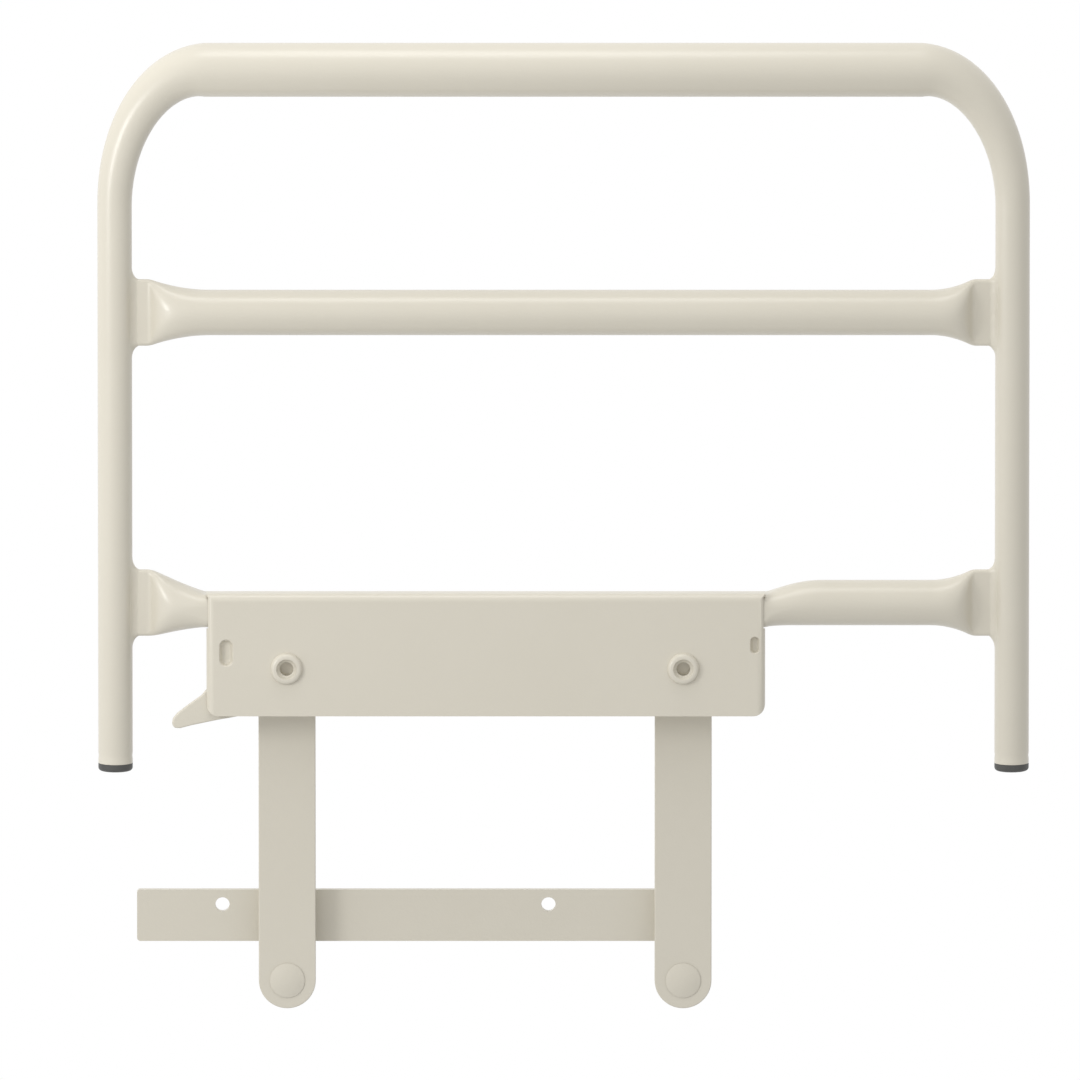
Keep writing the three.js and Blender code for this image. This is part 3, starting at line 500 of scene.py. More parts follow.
def slice_at(place, normal):
    """Cuts the whole open mesh along a plane and keeps both sides."""
    bpy.ops.mesh.select_all(action="SELECT")
    bpy.ops.mesh.bisect(plane_co=place, plane_no=normal)


def press_ring(x, base_z, shape):
    """Presses one ring of the round tube to a section, by its four quarters."""
    select("VERT", lambda vertex: at(vertex, "x", x))
    resize(1, shape["deep"] / RAIL_RADIUS, shape["high"] / RAIL_RADIUS, (x, rail_y, base_z))
    for side in (-1, 1):
        select_half("x", x, "y", rail_y, side)
        shift(0, side * (shape["depth"] - shape["deep"]), 0)
        select_half("x", x, "z", base_z, side)
        shift(0, 0, side * (shape["height"] - shape["high"]))
    select("VERT", lambda vertex: at(vertex, "x", x))
    shift(0, 0, shape["z"] - base_z)


def pressed_rail(name, node, left_stations):
    """A round tube cut into rings at its stations, each of which is then pressed. Its left stations run
    from the left tab to where the tube is round. At its right end it is pressed into a tab again."""
    base_z = middle(node).z
    tab, round_tube = tab_section(base_z), round_section(base_z)
    flare_x = right_crease_x - RIGHT_FLARE
    stations = [(rail_left_x, tab), (left_crease_x, tab), *left_stations, (flare_x, round_tube)]
    stations += [*flare(round_tube, tab, flare_x, right_crease_x, ease_in), (rail_right_x, tab)]
    bpy.ops.mesh.primitive_cylinder_add(
        vertices=RAIL_SIDES,
        radius=RAIL_RADIUS,
        depth=rail_right_x - rail_left_x,
        location=((rail_left_x + rail_right_x) / 2, rail_y, base_z),
        rotation=(0, math.pi / 2, 0),
    )
    piece = start(name)
    turn(math.pi / RAIL_SIDES, "X", (rail_left_x, rail_y, base_z))
    for x, shape in stations[1:-1]:
        slice_at((x, rail_y, base_z), (1, 0, 0))
    for x, shape in stations:
        press_ring(x, base_z, shape)
    for x in (left_crease_x, right_crease_x):
        select("EDGE", lambda edge: all_at(edge, "x", x))
        bpy.ops.mesh.bevel(offset=CREASE_RADIUS, segments=CREASE_SEGMENTS, affect="EDGES")
    close_up(piece)
    fit(finish(piece, cream_coat), "guard_frame", node)


rail_left_x, rail_right_x = (corner.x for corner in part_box("mid_rail"))
left_crease_x = rail_left_x + LEFT_TAB
right_crease_x = rail_right_x - RIGHT_TAB
housing_low, housing_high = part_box("latch_housing")
mid_rail_z = middle("mid_rail").z
lower_rail_z = middle("lower_rail").z
pressed_z = lower_rail_z - RAIL_RADIUS + PRESSED_HALF_HEIGHT

mid_tab, mid_round = tab_section(mid_rail_z), round_section(mid_rail_z)
mid_flare = flare(mid_tab, mid_round, left_crease_x, left_crease_x + LEFT_FLARE, ease_out)
pressed_rail("middle_rail", "mid_rail", mid_flare)

low_tab, low_round = tab_section(lower_rail_z), round_section(lower_rail_z)
low_pressed = section(PRESSED_HALF_HEIGHT, PRESSED_HALF_DEPTH, PRESSED_CORNER, pressed_z)
relief_x = housing_high.x + PRESSED_RELIEF
low_stations = [
    *flare(low_tab, low_pressed, left_crease_x, housing_low.x, ease_out, high=1),
    (housing_high.x, low_pressed),
    *flare(low_pressed, low_round, housing_high.x, relief_x, ease_out, deep=FLARE_HEIGHT_POWER),
]
pressed_rail("lower_cross_rail", "lower_rail", low_stations)


# Rail welds: a bead runs all round each flat rail end and fills the corner to the leg.
# It was laid by hand, so it is a little uneven under the paint.
WELD_RUN = 5.5 * MM
WELD_RISE = 8 * MM
WELD_SPREAD = 3.4 * MM
WELD_STEPS = 8
WELD_SINK = 1 * MM
WELD_TOE = 0.3 * MM
WELD_LUMP = 0.55 * MM
WELD_LUMP_SIZE = 3.2 * MM
WELD_SLICE = 2 * MM
WELD_SMOOTH_ANGLE = math.radians(60)
STADIUM_SIDES = 64
AXIS_TURN = {"X": (0, math.pi / 2, 0), "Y": (math.pi / 2, 0, 0), "Z": (0, 0, 0)}
WAY = {"X": Vector((1, 0, 0)), "Y": Vector((0, 1, 0))}


def stadium(name, centre, axis, flat, profile):
    """Draws a ring with two round ends, flat apart along Z, through the rows of a profile.
    A row holds the way along the axis and the half width and half height of the round ends."""
    line = axis.lower()
    across = "y" if axis == "X" else "x"
    way, width, height = profile[0]
    place = centre + WAY[axis] * way
    bpy.ops.mesh.primitive_circle_add(
        vertices=STADIUM_SIDES, radius=width, location=place, rotation=AXIS_TURN[axis], fill_type="NGON"
    )
    piece = start(name)
    turn(math.pi / STADIUM_SIDES, axis, place)
    for side in (-1, 1):
        select_half(line, getattr(place, line), "z", centre.z, side)
        resize(1, 1, height / width, centre)
        shift(0, 0, side * flat)
    for before, after in zip(profile, profile[1:]):
        here, there = (getattr(centre, line) + row[0] for row in (before, after))
        select("VERT", lambda vertex: at(vertex, line, here))
        draw_out(WAY[axis] * (after[0] - before[0]))
        grown = Vector((1, 1, after[2] / before[2]))
        setattr(grown, across, after[1] / before[1])
        for side in (-1, 1):
            select_half(line, there, "z", centre.z, side)
            resize(*grown, centre + Vector((0, 0, side * flat)))
    return piece


weld_lumps = bpy.data.textures.new("weld_lumps", "CLOUDS")
weld_lumps.noise_scale = WELD_LUMP_SIZE


def copied(piece, name, step):
    """Copies a piece with its own mesh and moves that mesh by a step."""
    pick(piece)
    bpy.ops.object.duplicate(linked=False)
    copy = bpy.context.object
    copy.name = name
    copy.data.name = name
    copy.location = step
    bpy.ops.object.transform_apply()
    return copy


def lay_bead(bead, body):
    """Makes a smooth weld bead uneven by where it lies, paints it and fits it to a body."""
    modify(bead, "DISPLACE", texture=weld_lumps, texture_coords="LOCAL", strength=WELD_LUMP)
    fit(finish(bead, cream_coat, WELD_SMOOTH_ANGLE), body)


def rail_bead(name, centre_z):
    """Bead between the left leg and the rail end on its right."""
    thin = TAB_HALF_DEPTH - WELD_TOE
    rows = []
    for share in shares(WELD_STEPS):
        angle = share * math.pi / 2
        run = WELD_RUN * (1 - math.sin(angle))
        swell = 1 - math.cos(angle)
        rows.append((run, thin + WELD_SPREAD * swell, thin + WELD_RISE * swell))
    rows.append((-WELD_SINK, *rows[-1][1:]))
    surface_x = left_plug.x + leg_radius
    flat = TAB_HALF_HEIGHT - TAB_HALF_DEPTH
    piece = stadium(name, Vector((surface_x, rail_y, centre_z)), "X", flat, rows)
    for share in shares(int(2 * flat / WELD_SLICE))[1:-1]:
        slice_at((surface_x, rail_y, centre_z - flat + 2 * flat * share), (0, 0, 1))
    close_up(piece)
    for vertex in piece.data.vertices:
        share = min(1, 1 - (vertex.co.x - surface_x) / WELD_RUN)
        drop = leg_radius - math.sqrt(leg_radius**2 - (vertex.co.y - rail_y) ** 2)
        vertex.co.x -= drop * share**2
    return piece


def turned_round(piece, name):
    """Copies a piece of the left leg and turns the copy half round, to the right leg."""
    copy = copied(piece, name, (0, 0, 0))
    bpy.ops.object.mode_set(mode="EDIT")
    bpy.ops.mesh.select_all(action="SELECT")
    turn(math.pi, "Z", ((left_plug.x + right_plug.x) / 2, rail_y, 0))
    bpy.ops.object.mode_set(mode="OBJECT")
    return copy


middle_bead = rail_bead("weld_middle_left", mid_rail_z)
lower_bead = copied(middle_bead, "weld_lower_left", (0, 0, lower_rail_z - mid_rail_z))
middle_far_bead = turned_round(middle_bead, "weld_middle_right")
lower_far_bead = turned_round(lower_bead, "weld_lower_right")
for bead in (middle_bead, lower_bead, middle_far_bead, lower_far_bead):
    lay_bead(bead, "guard_frame")


# Leg plugs: moulded in black plastic and pushed into the open ends of the legs.
# Each has a round-edged head as wide as the tube, and a stem that grips inside.
PLUG_HEAD = 5 * MM
PLUG_EDGE = 2.2 * MM
PLUG_EDGE_STEPS = 8
PLUG_CLEARANCE = 0.3 * MM
PLUG_COLOURS = [(0.052, 0.052, 0.049, 1), (0.085, 0.085, 0.08, 1)]
PLUG_SCUFF_NOISE = (6 * MM, 5, 0.65)
PLUG_GRAIN_NOISE = (0.5 * MM, 1, 0.5)
PLUG_GRAIN_DEPTH = 0.03 * MM
PLUG_ROUGHNESS = (0.4, 0.6)
TURNED_SIDES = 48


def black_plastic():
    graph, place = new_material("black_moulded_plastic")
    scuff = graph.noise(place, *PLUG_SCUFF_NOISE)
    grain = graph.noise(place, *PLUG_GRAIN_NOISE)
    sockets = {"Normal": graph.bump(grain, PLUG_GRAIN_DEPTH)}
    return paint(graph, scuff, PLUG_COLOURS, scuff, PLUG_ROUGHNESS, sockets)


def turned(name, place, axis, profile, sides=TURNED_SIDES):
    """Lathe work: a ring is drawn through a profile of radius and height. Heights run up Z, forward
    where the axis is Y and to the right where it is X. A profile that ends at its start makes a sleeve."""
    radius, height = profile[0]
    filling = "NOTHING" if profile[0] == profile[-1] else "NGON"
    bpy.ops.mesh.primitive_circle_add(
        vertices=sides, radius=radius, location=(0, 0, height), fill_type=filling
    )
    piece = start(name)
    for (radius, height), (next_radius, next_height) in zip(profile, profile[1:]):
        draw_out((0, 0, next_height - height))
        resize(next_radius / radius, next_radius / radius, 1, (0, 0, next_height))
    close_up(piece)
    piece.location = place
    piece.rotation_euler = AXIS_TURN[axis]
    bpy.ops.object.transform_apply()
    return piece


def to_right(name):
    return name.replace("left", "right")


def fit_pair(piece, step, body, node):
    """Fits a left piece, and its copy on the right, whose names have right where the left's have left."""
    fit(copied(piece, to_right(piece.name), step), to_right(body), to_right(node))
    fit(piece, body, node)


def end_plug():
    stem_radius = leg_radius - TUBE_WALL - PLUG_CLEARANCE
    stem_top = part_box("leg_plug_left")[1].z
    edge_z = leg_end_z - PLUG_HEAD + PLUG_EDGE
    seat_z = leg_end_z - PLUG_CLEARANCE / 2
    profile = []
    for share in shares(PLUG_EDGE_STEPS):
        angle = share * math.pi / 2
        across = leg_radius - PLUG_EDGE + PLUG_EDGE * math.sin(angle)
        profile.append((across, edge_z - PLUG_EDGE * math.cos(angle)))
    profile += [(leg_radius, seat_z), (stem_radius, seat_z), (stem_radius, stem_top)]
    piece = turned("end_plug_left", (left_plug.x, rail_y, 0), "Z", profile, HOOP_SIDES)
    return finish(piece, black_plastic())


leg_step = (right_plug.x - left_plug.x, 0, 0)
fit_pair(end_plug(), leg_step, "guard_frame", "leg_plug_left")


# Latch housing: one steel sheet folded into a shallow cover, with rounded edges at the top and sides.
# It is open below and behind, wraps the lower rail and is pierced for the two upper pivots.
SHEET = 2 * MM
FOLD_RADIUS = 5 * MM
FOLD_STEPS = 8
FACING = 0.5
HOUSING_CORNER = 7.5 * MM
CORNER_STEPS = 10
SHEET_EDGE = 0.35 * MM
SHEET_EDGE_ANGLE = math.radians(60)
EDGE_ANGLE = math.radians(38)
EDGE_SEGMENTS = 2
CUT_OVERRUN = 6 * MM
RUN_GAP = 0.3 * MM
PIN_RADIUS = 6 * MM
PIN_BORE = PIN_RADIUS + RUN_GAP
DIMPLE_HALF_WIDTH = 3.75 * MM
DIMPLE_FLAT = 4.25 * MM
DIMPLE_FROM_PIVOT = Vector((-38, 0, 10)) * MM
END_DIMPLE_HALF_WIDTH = 2.5 * MM
END_DIMPLE_FLAT = 2.5 * MM
END_DIMPLE_FROM_PIVOT = Vector((45, 0, 15)) * MM
DIMPLE_DEPTH = 3.9 * MM
DIMPLE_BACK_SHARES = [(0.2, 1.3), (1.02, 1.3), (1.14, 1.22), (1.2, 1.05), (1.22, 0.8)]
DIMPLE_FRONT_SHARES = [(-0.6, 1.7), (-0.06, 1.34), (0.05, 1.17), (0.16, 1.05), (0.32, 0.97), (0.52, 0.91)]
DIMPLE_FLOOR_SHARES = [(0.71, 0.83), (0.86, 0.7), (0.96, 0.48), (0.99, 0.24), (1, 0.06)]


def modify_with(piece, cutter, operation):
    modify(piece, "BOOLEAN", object=cutter, operation=operation, solver="EXACT")
    bpy.data.objects.remove(cutter)


def cut(piece, *cutters):
    for cutter in cutters:
        modify_with(piece, cutter, "DIFFERENCE")


def bore(piece, node, place, radius):
    """Cuts a round hole right through a piece that stands for a node, from its front to its back."""
    low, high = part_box(node)
    cut(piece, turned("bore", place, "Y", [(radius, CUT_OVERRUN - low.y), (radius, -CUT_OVERRUN - high.y)]))


def soften(piece, width, segments=EDGE_SEGMENTS, angle=EDGE_ANGLE):
    """Rounds the sharp edges."""
    edges = {"limit_method": "ANGLE", "angle_limit": angle, "use_clamp_overlap": True}
    return modify(piece, "BEVEL", width=width, segments=segments, **edges)


def dress(piece, material, width, segments=EDGE_SEGMENTS, angle=EDGE_ANGLE):
    """Rounds a plate's edges, paints it and keeps its flat faces looking flat."""
    soften(piece, width, segments, angle)
    finish(piece, material)
    return modify(piece, "WEIGHTED_NORMAL", keep_sharp=True)


def box_block(name, low, high):
    """A block between two corners, as a cutter."""
    bpy.ops.mesh.primitive_cube_add(size=1, location=(low + high) / 2, scale=high - low)
    return close_up(start(name))


def arc(x, z, radius, first_degrees, last_degrees, steps):
    """Points in X and Z round a centre, counter-clockwise as the front shows them."""
    sweep = last_degrees - first_degrees
    angles = [math.radians(first_degrees + sweep * share) for share in shares(steps)]
    return [(x + radius * math.cos(angle), z + radius * math.sin(angle)) for angle in angles]


def sheet_cut(name, points, front_y, thickness):
    """Draws an outline in X and Z point by point, fills it and gives it a thickness towards the back."""
    first_x, first_z = points[0]
    bpy.ops.mesh.primitive_plane_add(size=MM, location=(first_x, front_y, first_z))
    piece = start(name)
    bpy.ops.mesh.merge(type="CENTER")
    for (x, z), (next_x, next_z) in zip(points, points[1:]):
        bpy.ops.mesh.extrude_vertices_move(TRANSFORM_OT_translate={"value": (next_x - x, 0, next_z - z)})
    ends = [Vector((x, front_y, z)) for x, z in (points[0], points[-1])]
    select("VERT", lambda vertex: min((vertex.co - end).length for end in ends) < CLOSE)
    bpy.ops.mesh.edge_face_add()
    bpy.ops.mesh.select_all(action="SELECT")
    bpy.ops.mesh.edge_face_add()
    draw_out((0, thickness, 0))
    return close_up(piece)


def press_dimple(piece, place, half_wide, flat):
    """Raises the back of the cover by a round-edged lump and sinks a smooth bowl into its front."""
    centre = Vector((place.x, housing_low.y, place.z))
    bowl = DIMPLE_FRONT_SHARES + DIMPLE_FLOOR_SHARES
    for table, operation in ((DIMPLE_BACK_SHARES, "UNION"), (bowl, "DIFFERENCE")):
        profile = [(deep * DIMPLE_DEPTH, wide * half_wide, wide * half_wide) for deep, wide in table]
        modify_with(piece, close_up(stadium("punch", centre, "Y", flat, profile)), operation)


def housing_shell():
    """The folded sheet before anything is cut in it."""
    bpy.ops.mesh.primitive_cube_add(
        size=1, location=(housing_low + housing_high) / 2, scale=housing_high - housing_low
    )
    piece = start("housing_cover")
    select("FACE", lambda face: face.normal.y > FACING or face.normal.z < -FACING)
    bpy.ops.mesh.delete(type="FACE")
    front_y, bottom_z = housing_low.y, housing_low.z
    select("EDGE", lambda edge: all_at(edge, "y", front_y) and not all_at(edge, "z", bottom_z))
    bpy.ops.mesh.bevel(offset=FOLD_RADIUS, segments=FOLD_STEPS, affect="EDGES")
    bpy.ops.object.mode_set(mode="OBJECT")
    return modify(piece, "SOLIDIFY", thickness=SHEET, offset=-1, use_even_offset=True)


def corner_cutter(side):
    """Takes the square lower corner off on one side, at -1 or 1, and leaves a round one."""
    corner_x = housing_low.x if side < 0 else housing_high.x
    centre_x = corner_x - side * HOUSING_CORNER
    centre_z = housing_low.z + HOUSING_CORNER
    turn_start = -90 if side > 0 else 270
    points = arc(centre_x, centre_z, HOUSING_CORNER, turn_start, turn_start + side * 90, CORNER_STEPS)
    far_x = corner_x + side * CUT_OVERRUN
    low_z = housing_low.z - CUT_OVERRUN
    points += [(far_x, points[-1][1]), (far_x, low_z), (points[0][0], low_z)]
    depth = housing_high.y - housing_low.y + 2 * CUT_OVERRUN
    return sheet_cut("corner_cutter", points, housing_low.y - CUT_OVERRUN, depth)


def latch_housing():
    piece = housing_shell()
    reach = Vector((CUT_OVERRUN, CUT_OVERRUN, CUT_OVERRUN))
    low, high = housing_low - reach, housing_high + reach
    behind_low = Vector((low.x, housing_low.y + FOLD_RADIUS, low.z))
    behind = box_block("behind", behind_low, Vector((high.x, high.y, housing_high.z - FOLD_RADIUS)))
    passage_low = Vector((low.x, housing_low.y + SHEET, pressed_z - PRESSED_HALF_HEIGHT - RUN_GAP))
    passage = box_block("passage", passage_low, Vector((high.x, high.y, housing_high.z - SHEET)))
    cut(piece, behind, passage, corner_cutter(-1), corner_cutter(1))
    for pivot in (left_pivot, right_pivot):
        bore(piece, "latch_housing", pivot, PIN_BORE)
    press_dimple(piece, left_pivot + DIMPLE_FROM_PIVOT, DIMPLE_HALF_WIDTH, DIMPLE_FLAT)
    press_dimple(piece, right_pivot + END_DIMPLE_FROM_PIVOT, END_DIMPLE_HALF_WIDTH, END_DIMPLE_FLAT)
    return dress(piece, cream_coat, SHEET_EDGE, angle=SHEET_EDGE_ANGLE)


def axle(node):
    """The middle of a node, moved along Y to where heights start."""
    place = middle(node)
    return Vector((place.x, 0, place.z))


left_pivot = axle("upper_pivot_pin_left")
right_pivot = axle("upper_pivot_pin_right")
fit(latch_housing(), "guard_frame", "latch_housing")


# Upper pivots: a steel pin, whose head is dished round a deep socket, goes through the housing, a welded
# boss and the link's bush. A zinc-plated washer and a thin lock nut hold it behind.
HEAD_RIM = 0.8 * MM
HEAD_DOME = 2.4 * MM
HEAD_CROWN_POWER = 4
DISH_RADIUS = 6.5 * MM
DISH_DEPTH = 2.6 * MM
DISH_POWER = 1.4
DISH_STEPS = 8
SOCKET_RADIUS = 4.4 * MM
SOCKET_DEPTH = 8.8 * MM
SOCKET_CORNER = 0.8 * MM
DOME_STEPS = 10
PIN_CHAMFER = 0.8 * MM
SMALL_EDGE = 0.3 * MM
BOSS_BEAD = 1.5 * MM
RING_BEAD_STEPS = 64
RING_BEAD_SIDES = 12
NUT_FLATS = 19 * MM
NUT_SIDES = 6
NUT_TURN = math.radians(30)
NUT_BARREL_SIDES = 50
NUT_BARREL_SPARE = 0.225 * MM
NUT_CHAMFER = 0.9 * MM
NUT_CHAMFER_RUN = 1.8 * MM
NUT_COLLAR_HEIGHT = 1.5 * MM
NUT_COLLAR_RADIUS = 8.6 * MM
ZINC_COLOURS = [(0.52, 0.53, 0.55, 1), (0.66, 0.67, 0.68, 1)]
ZINC_TONE_NOISE = (5 * MM, 4, 0.6)
ZINC_GRAIN_NOISE = (0.6 * MM, 2, 0.5)
ZINC_GRAIN_DEPTH = 0.02 * MM
ZINC_ROUGHNESS = (0.2, 0.42)


def zinc_plate():
    graph, place = new_material("bright_zinc_plate")
    tone = graph.noise(place, *ZINC_TONE_NOISE)
    grain = graph.noise(place, *ZINC_GRAIN_NOISE)
    sockets = {"Normal": graph.bump(grain, ZINC_GRAIN_DEPTH), "Metallic": 1}
    return paint(graph, tone, ZINC_COLOURS, tone, ZINC_ROUGHNESS, sockets)


def forward(node):
    """How far forward a node's front and back lie."""
    low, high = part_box(node)
    return -low.y, -high.y


def round_size(node):
    """How far forward a round node's front and back lie, and its largest radius."""
    return *forward(node), half_width(node)


def swept(inner, outer, height, rise, power, steps):
    """A profile from an inner to an outer radius, whose rise follows a power of the way."""
    return [(inner + (outer - inner) * share, height + rise * share**power) for share in shares(steps)]


def sleeve(name, place, inner, outer, front, back):
    profile = [(inner, back), (outer, back), (outer, front), (inner, front), (inner, back)]
    return soften(turned(name, place, "Y", profile), SMALL_EDGE)


def ring_bead(name, node, thickness, sink=0):
    """Smooth weld bead that runs round the front end of a stud or boss."""
    place = middle(node)
    bpy.ops.mesh.primitive_torus_add(
        major_segments=RING_BEAD_STEPS,
        minor_segments=RING_BEAD_SIDES,
        major_radius=half_width(node),
        minor_radius=thickness,
        location=(place.x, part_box(node)[0].y - sink, place.z),
        rotation=AXIS_TURN["Y"],
    )
    return close_up(start(name))


def dished_pin():
    front, back, head_radius = round_size("upper_pivot_pin_left")
    seat = -housing_low.y
    top = seat + HEAD_RIM + HEAD_DOME
    bottom = front - SOCKET_DEPTH
    profile = [(SOCKET_RADIUS - SOCKET_CORNER, bottom), (SOCKET_RADIUS, bottom + SOCKET_CORNER)]
    profile += swept(SOCKET_RADIUS, DISH_RADIUS, front - DISH_DEPTH, DISH_DEPTH, DISH_POWER, DISH_STEPS)
    profile += swept(DISH_RADIUS, head_radius, top, -HEAD_DOME, HEAD_CROWN_POWER, DOME_STEPS)[1:]
    profile += [(head_radius, seat), (PIN_RADIUS, seat), (PIN_RADIUS, back + PIN_CHAMFER)]
    profile.append((PIN_RADIUS - PIN_CHAMFER, back))
    return finish(turned("dished_pin_left", left_pivot, "Y", profile, HOOP_SIDES), cream_coat)


def lock_nut():
    """A hexagon whose corners are turned off in front and into a round collar behind."""
    front, back = forward("lock_nut_left")
    corner_radius = NUT_FLATS / math.sqrt(3)
    bpy.ops.mesh.primitive_cylinder_add(
        vertices=NUT_SIDES,
        radius=corner_radius,
        depth=front - back,
        location=(left_pivot.x, -(front + back) / 2, left_pivot.z),
        rotation=AXIS_TURN["Y"],
    )
    piece = start("thin_lock_nut_left")
    turn(NUT_TURN, "Y", left_pivot)
    close_up(piece)
    collar = back + NUT_COLLAR_HEIGHT
    barrel = [
        (corner_radius - NUT_CHAMFER_RUN, front),
        (corner_radius + NUT_BARREL_SPARE, front - NUT_CHAMFER),
        (corner_radius + NUT_BARREL_SPARE, collar + NUT_CHAMFER),
        (corner_radius - NUT_CHAMFER_RUN, collar),
        (NUT_COLLAR_RADIUS, collar),
        (NUT_COLLAR_RADIUS, back + NUT_COLLAR_HEIGHT / 2),
        (NUT_COLLAR_RADIUS - NUT_COLLAR_HEIGHT / 2, back),
    ]
    modify_with(piece, turned("barrel", left_pivot, "Y", barrel, NUT_BARREL_SIDES), "INTERSECT")
    bore(piece, "lock_nut_left", left_pivot, PIN_BORE)
    return finish(soften(piece, SMALL_EDGE / 2), zinc)


def lay_pair(bead, step):
    """Lays a left bead on the guard frame, and its copy on the right."""
    lay_bead(copied(bead, to_right(bead.name), step), "guard_frame")
    lay_bead(bead, "guard_frame")


def pivot_sleeve(name, node, material):
    """Boss, washer or spacer round the left pivot that a node stands at."""
    return finish(sleeve(name, axle(node), PIN_BORE, half_width(node), *forward(node)), material)


zinc = zinc_plate()
pivot_step = (right_pivot.x - left_pivot.x, 0, 0)
boss = pivot_sleeve("welded_boss_left", "pivot_boss_left", cream_coat)
washer = pivot_sleeve("flat_washer_left", "pivot_washer_left", zinc)
lay_pair(ring_bead("boss_weld_left", "pivot_boss_left", BOSS_BEAD), pivot_step)
fit_pair(dished_pin(), pivot_step, "guard_frame", "upper_pivot_pin_left")
fit_pair(boss, pivot_step, "guard_frame", "pivot_boss_left")
fit_pair(washer, pivot_step, "guard_frame", "pivot_washer_left")
fit_pair(lock_nut(), pivot_step, "guard_frame", "lock_nut_left")


# Studs behind the lower rail: two fold stops that the links come to rest on, and the smaller one that
# the latch spring hooks over. Each is a steel pin welded to the pressed rail.
STUD_SINK = 0.4 * MM
STUD_BEAD = 1 * MM
STUD_CHAMFER = 0.6 * MM
STUD_SIDES = 32


def stud(name, node, material):
    front, back, radius = round_size(node)
    profile = [(radius, front + STUD_SINK), (radius, back + STUD_CHAMFER), (radius - STUD_CHAMFER, back)]
    return finish(turned(name, axle(node), "Y", profile, STUD_SIDES), material)


stop_step = middle("fold_stop_right") - middle("fold_stop_left")
stop_stud = stud("stop_stud_left", "fold_stop_left", cream_coat)
fit_pair(stop_stud, stop_step, "guard_frame", "fold_stop_left")
lay_pair(ring_bead("stop_stud_left_weld", "fold_stop_left", STUD_BEAD, RUN_GAP), stop_step)
fit(stud("spring_stud", "spring_anchor", zinc), "guard_frame", "spring_anchor")
lay_bead(ring_bead("spring_stud_weld", "spring_anchor", STUD_BEAD, RUN_GAP), "guard_frame")


# Swing links: two flat steel straps with round ends, blanked from 5 mm plate and coated.
# The left one has a notch under its upper head for the latch. Each end holds a flanged nylon bush.
LINK_STEPS = 28
NOTCHED_HEAD_STEPS = 34
LINK_EDGE = 0.7 * MM
STRAP_EDGE_SEGMENTS = 3
NOTCH_DEPTH = 4 * MM
NOTCH_FLOOR = 3.7 * MM
NOTCH_RAMP = 5 * MM
BUSH_WALL = 1.7 * MM
NYLON_COLOURS = [(0.74, 0.73, 0.67, 1), (0.82, 0.81, 0.76, 1)]
NYLON_TONE_NOISE = (4 * MM, 3, 0.5)
NYLON_GRAIN_DEPTH = 0.02 * MM
NYLON_ROUGHNESS = (0.4, 0.55)
NYLON_GLOW_SHARE = 0.1
NYLON_GLOW_DEPTH = 1 * MM


def nylon():
    graph, place = new_material("white_nylon")
    tone = graph.noise(place, *NYLON_TONE_NOISE)
    sockets = {
        "Normal": graph.bump(tone, NYLON_GRAIN_DEPTH),
        "Subsurface Weight": NYLON_GLOW_SHARE,
        "Subsurface Scale": NYLON_GLOW_DEPTH,
    }
    return paint(graph, tone, NYLON_COLOURS, tone, NYLON_ROUGHNESS, sockets)


white_nylon = nylon()


def plate(name, node, points, holes, material, width, segments=EDGE_SEGMENTS):
    """A finished plate as thick as a node, by its outline in X and Z and its holes' places and radii."""
    low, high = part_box(node)
    piece = sheet_cut(name, points, low.y, high.y - low.y)
    for place, radius in holes:
        bore(piece, node, place, radius)
    return dress(piece, material, width, segments)


def swing_link(side_name, notched):
    node = "link_" + side_name
    low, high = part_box(node)
    radius = half_width(node)
    x = middle(node).x
    top_z, bottom_z = high.z - radius, low.z + radius
    points = arc(x, bottom_z, radius, 180, 360, LINK_STEPS)
    if notched:
        notch_x = NOTCH_DEPTH - radius
        notch_z = -math.sqrt(radius**2 - notch_x**2)
        head_end = math.degrees(math.atan2(notch_z, notch_x)) + 360
        points += arc(x, top_z, radius, 0, head_end, NOTCHED_HEAD_STEPS)
        points.append((x + notch_x, top_z + notch_z - NOTCH_FLOOR))
        points.append((x - radius, top_z + notch_z - NOTCH_FLOOR - NOTCH_RAMP))
    else:
        points += arc(x, top_z, radius, 0, 180, LINK_STEPS)
    holes = [((x, 0, z), PIN_BORE + BUSH_WALL + RUN_GAP) for z in (bottom_z, top_z)]
    name = "swing_link_" + side_name
    piece = plate(name, node, points, holes, cream_coat, LINK_EDGE, STRAP_EDGE_SEGMENTS)
    fit(piece, node, node)


def flanged_bush(end_name, pivot):
    node = end_name + "_bush_left"
    link_front, link_back = forward("link_left")
    front, back, flange = round_size(node)
    body = PIN_BORE + BUSH_WALL
    profile = [(PIN_BORE, back), (body, back), (body, link_front), (flange, link_front), (flange, front)]
    if end_name == "lower":
        profile = [(PIN_BORE, back), (flange, back), (flange, link_back), (body, link_back), (body, front)]
    profile += [(PIN_BORE, front), (PIN_BORE, back)]
    piece = soften(turned("nylon_" + node, pivot, "Y", profile), SMALL_EDGE / 2)
    fit_pair(finish(piece, white_nylon), pivot_step, "link_left", node)


swing_link("left", notched=True)
swing_link("right", notched=False)
lower_pivot = axle("lower_pivot_pin_left")
flanged_bush("lower", lower_pivot)
flanged_bush("upper", left_pivot)


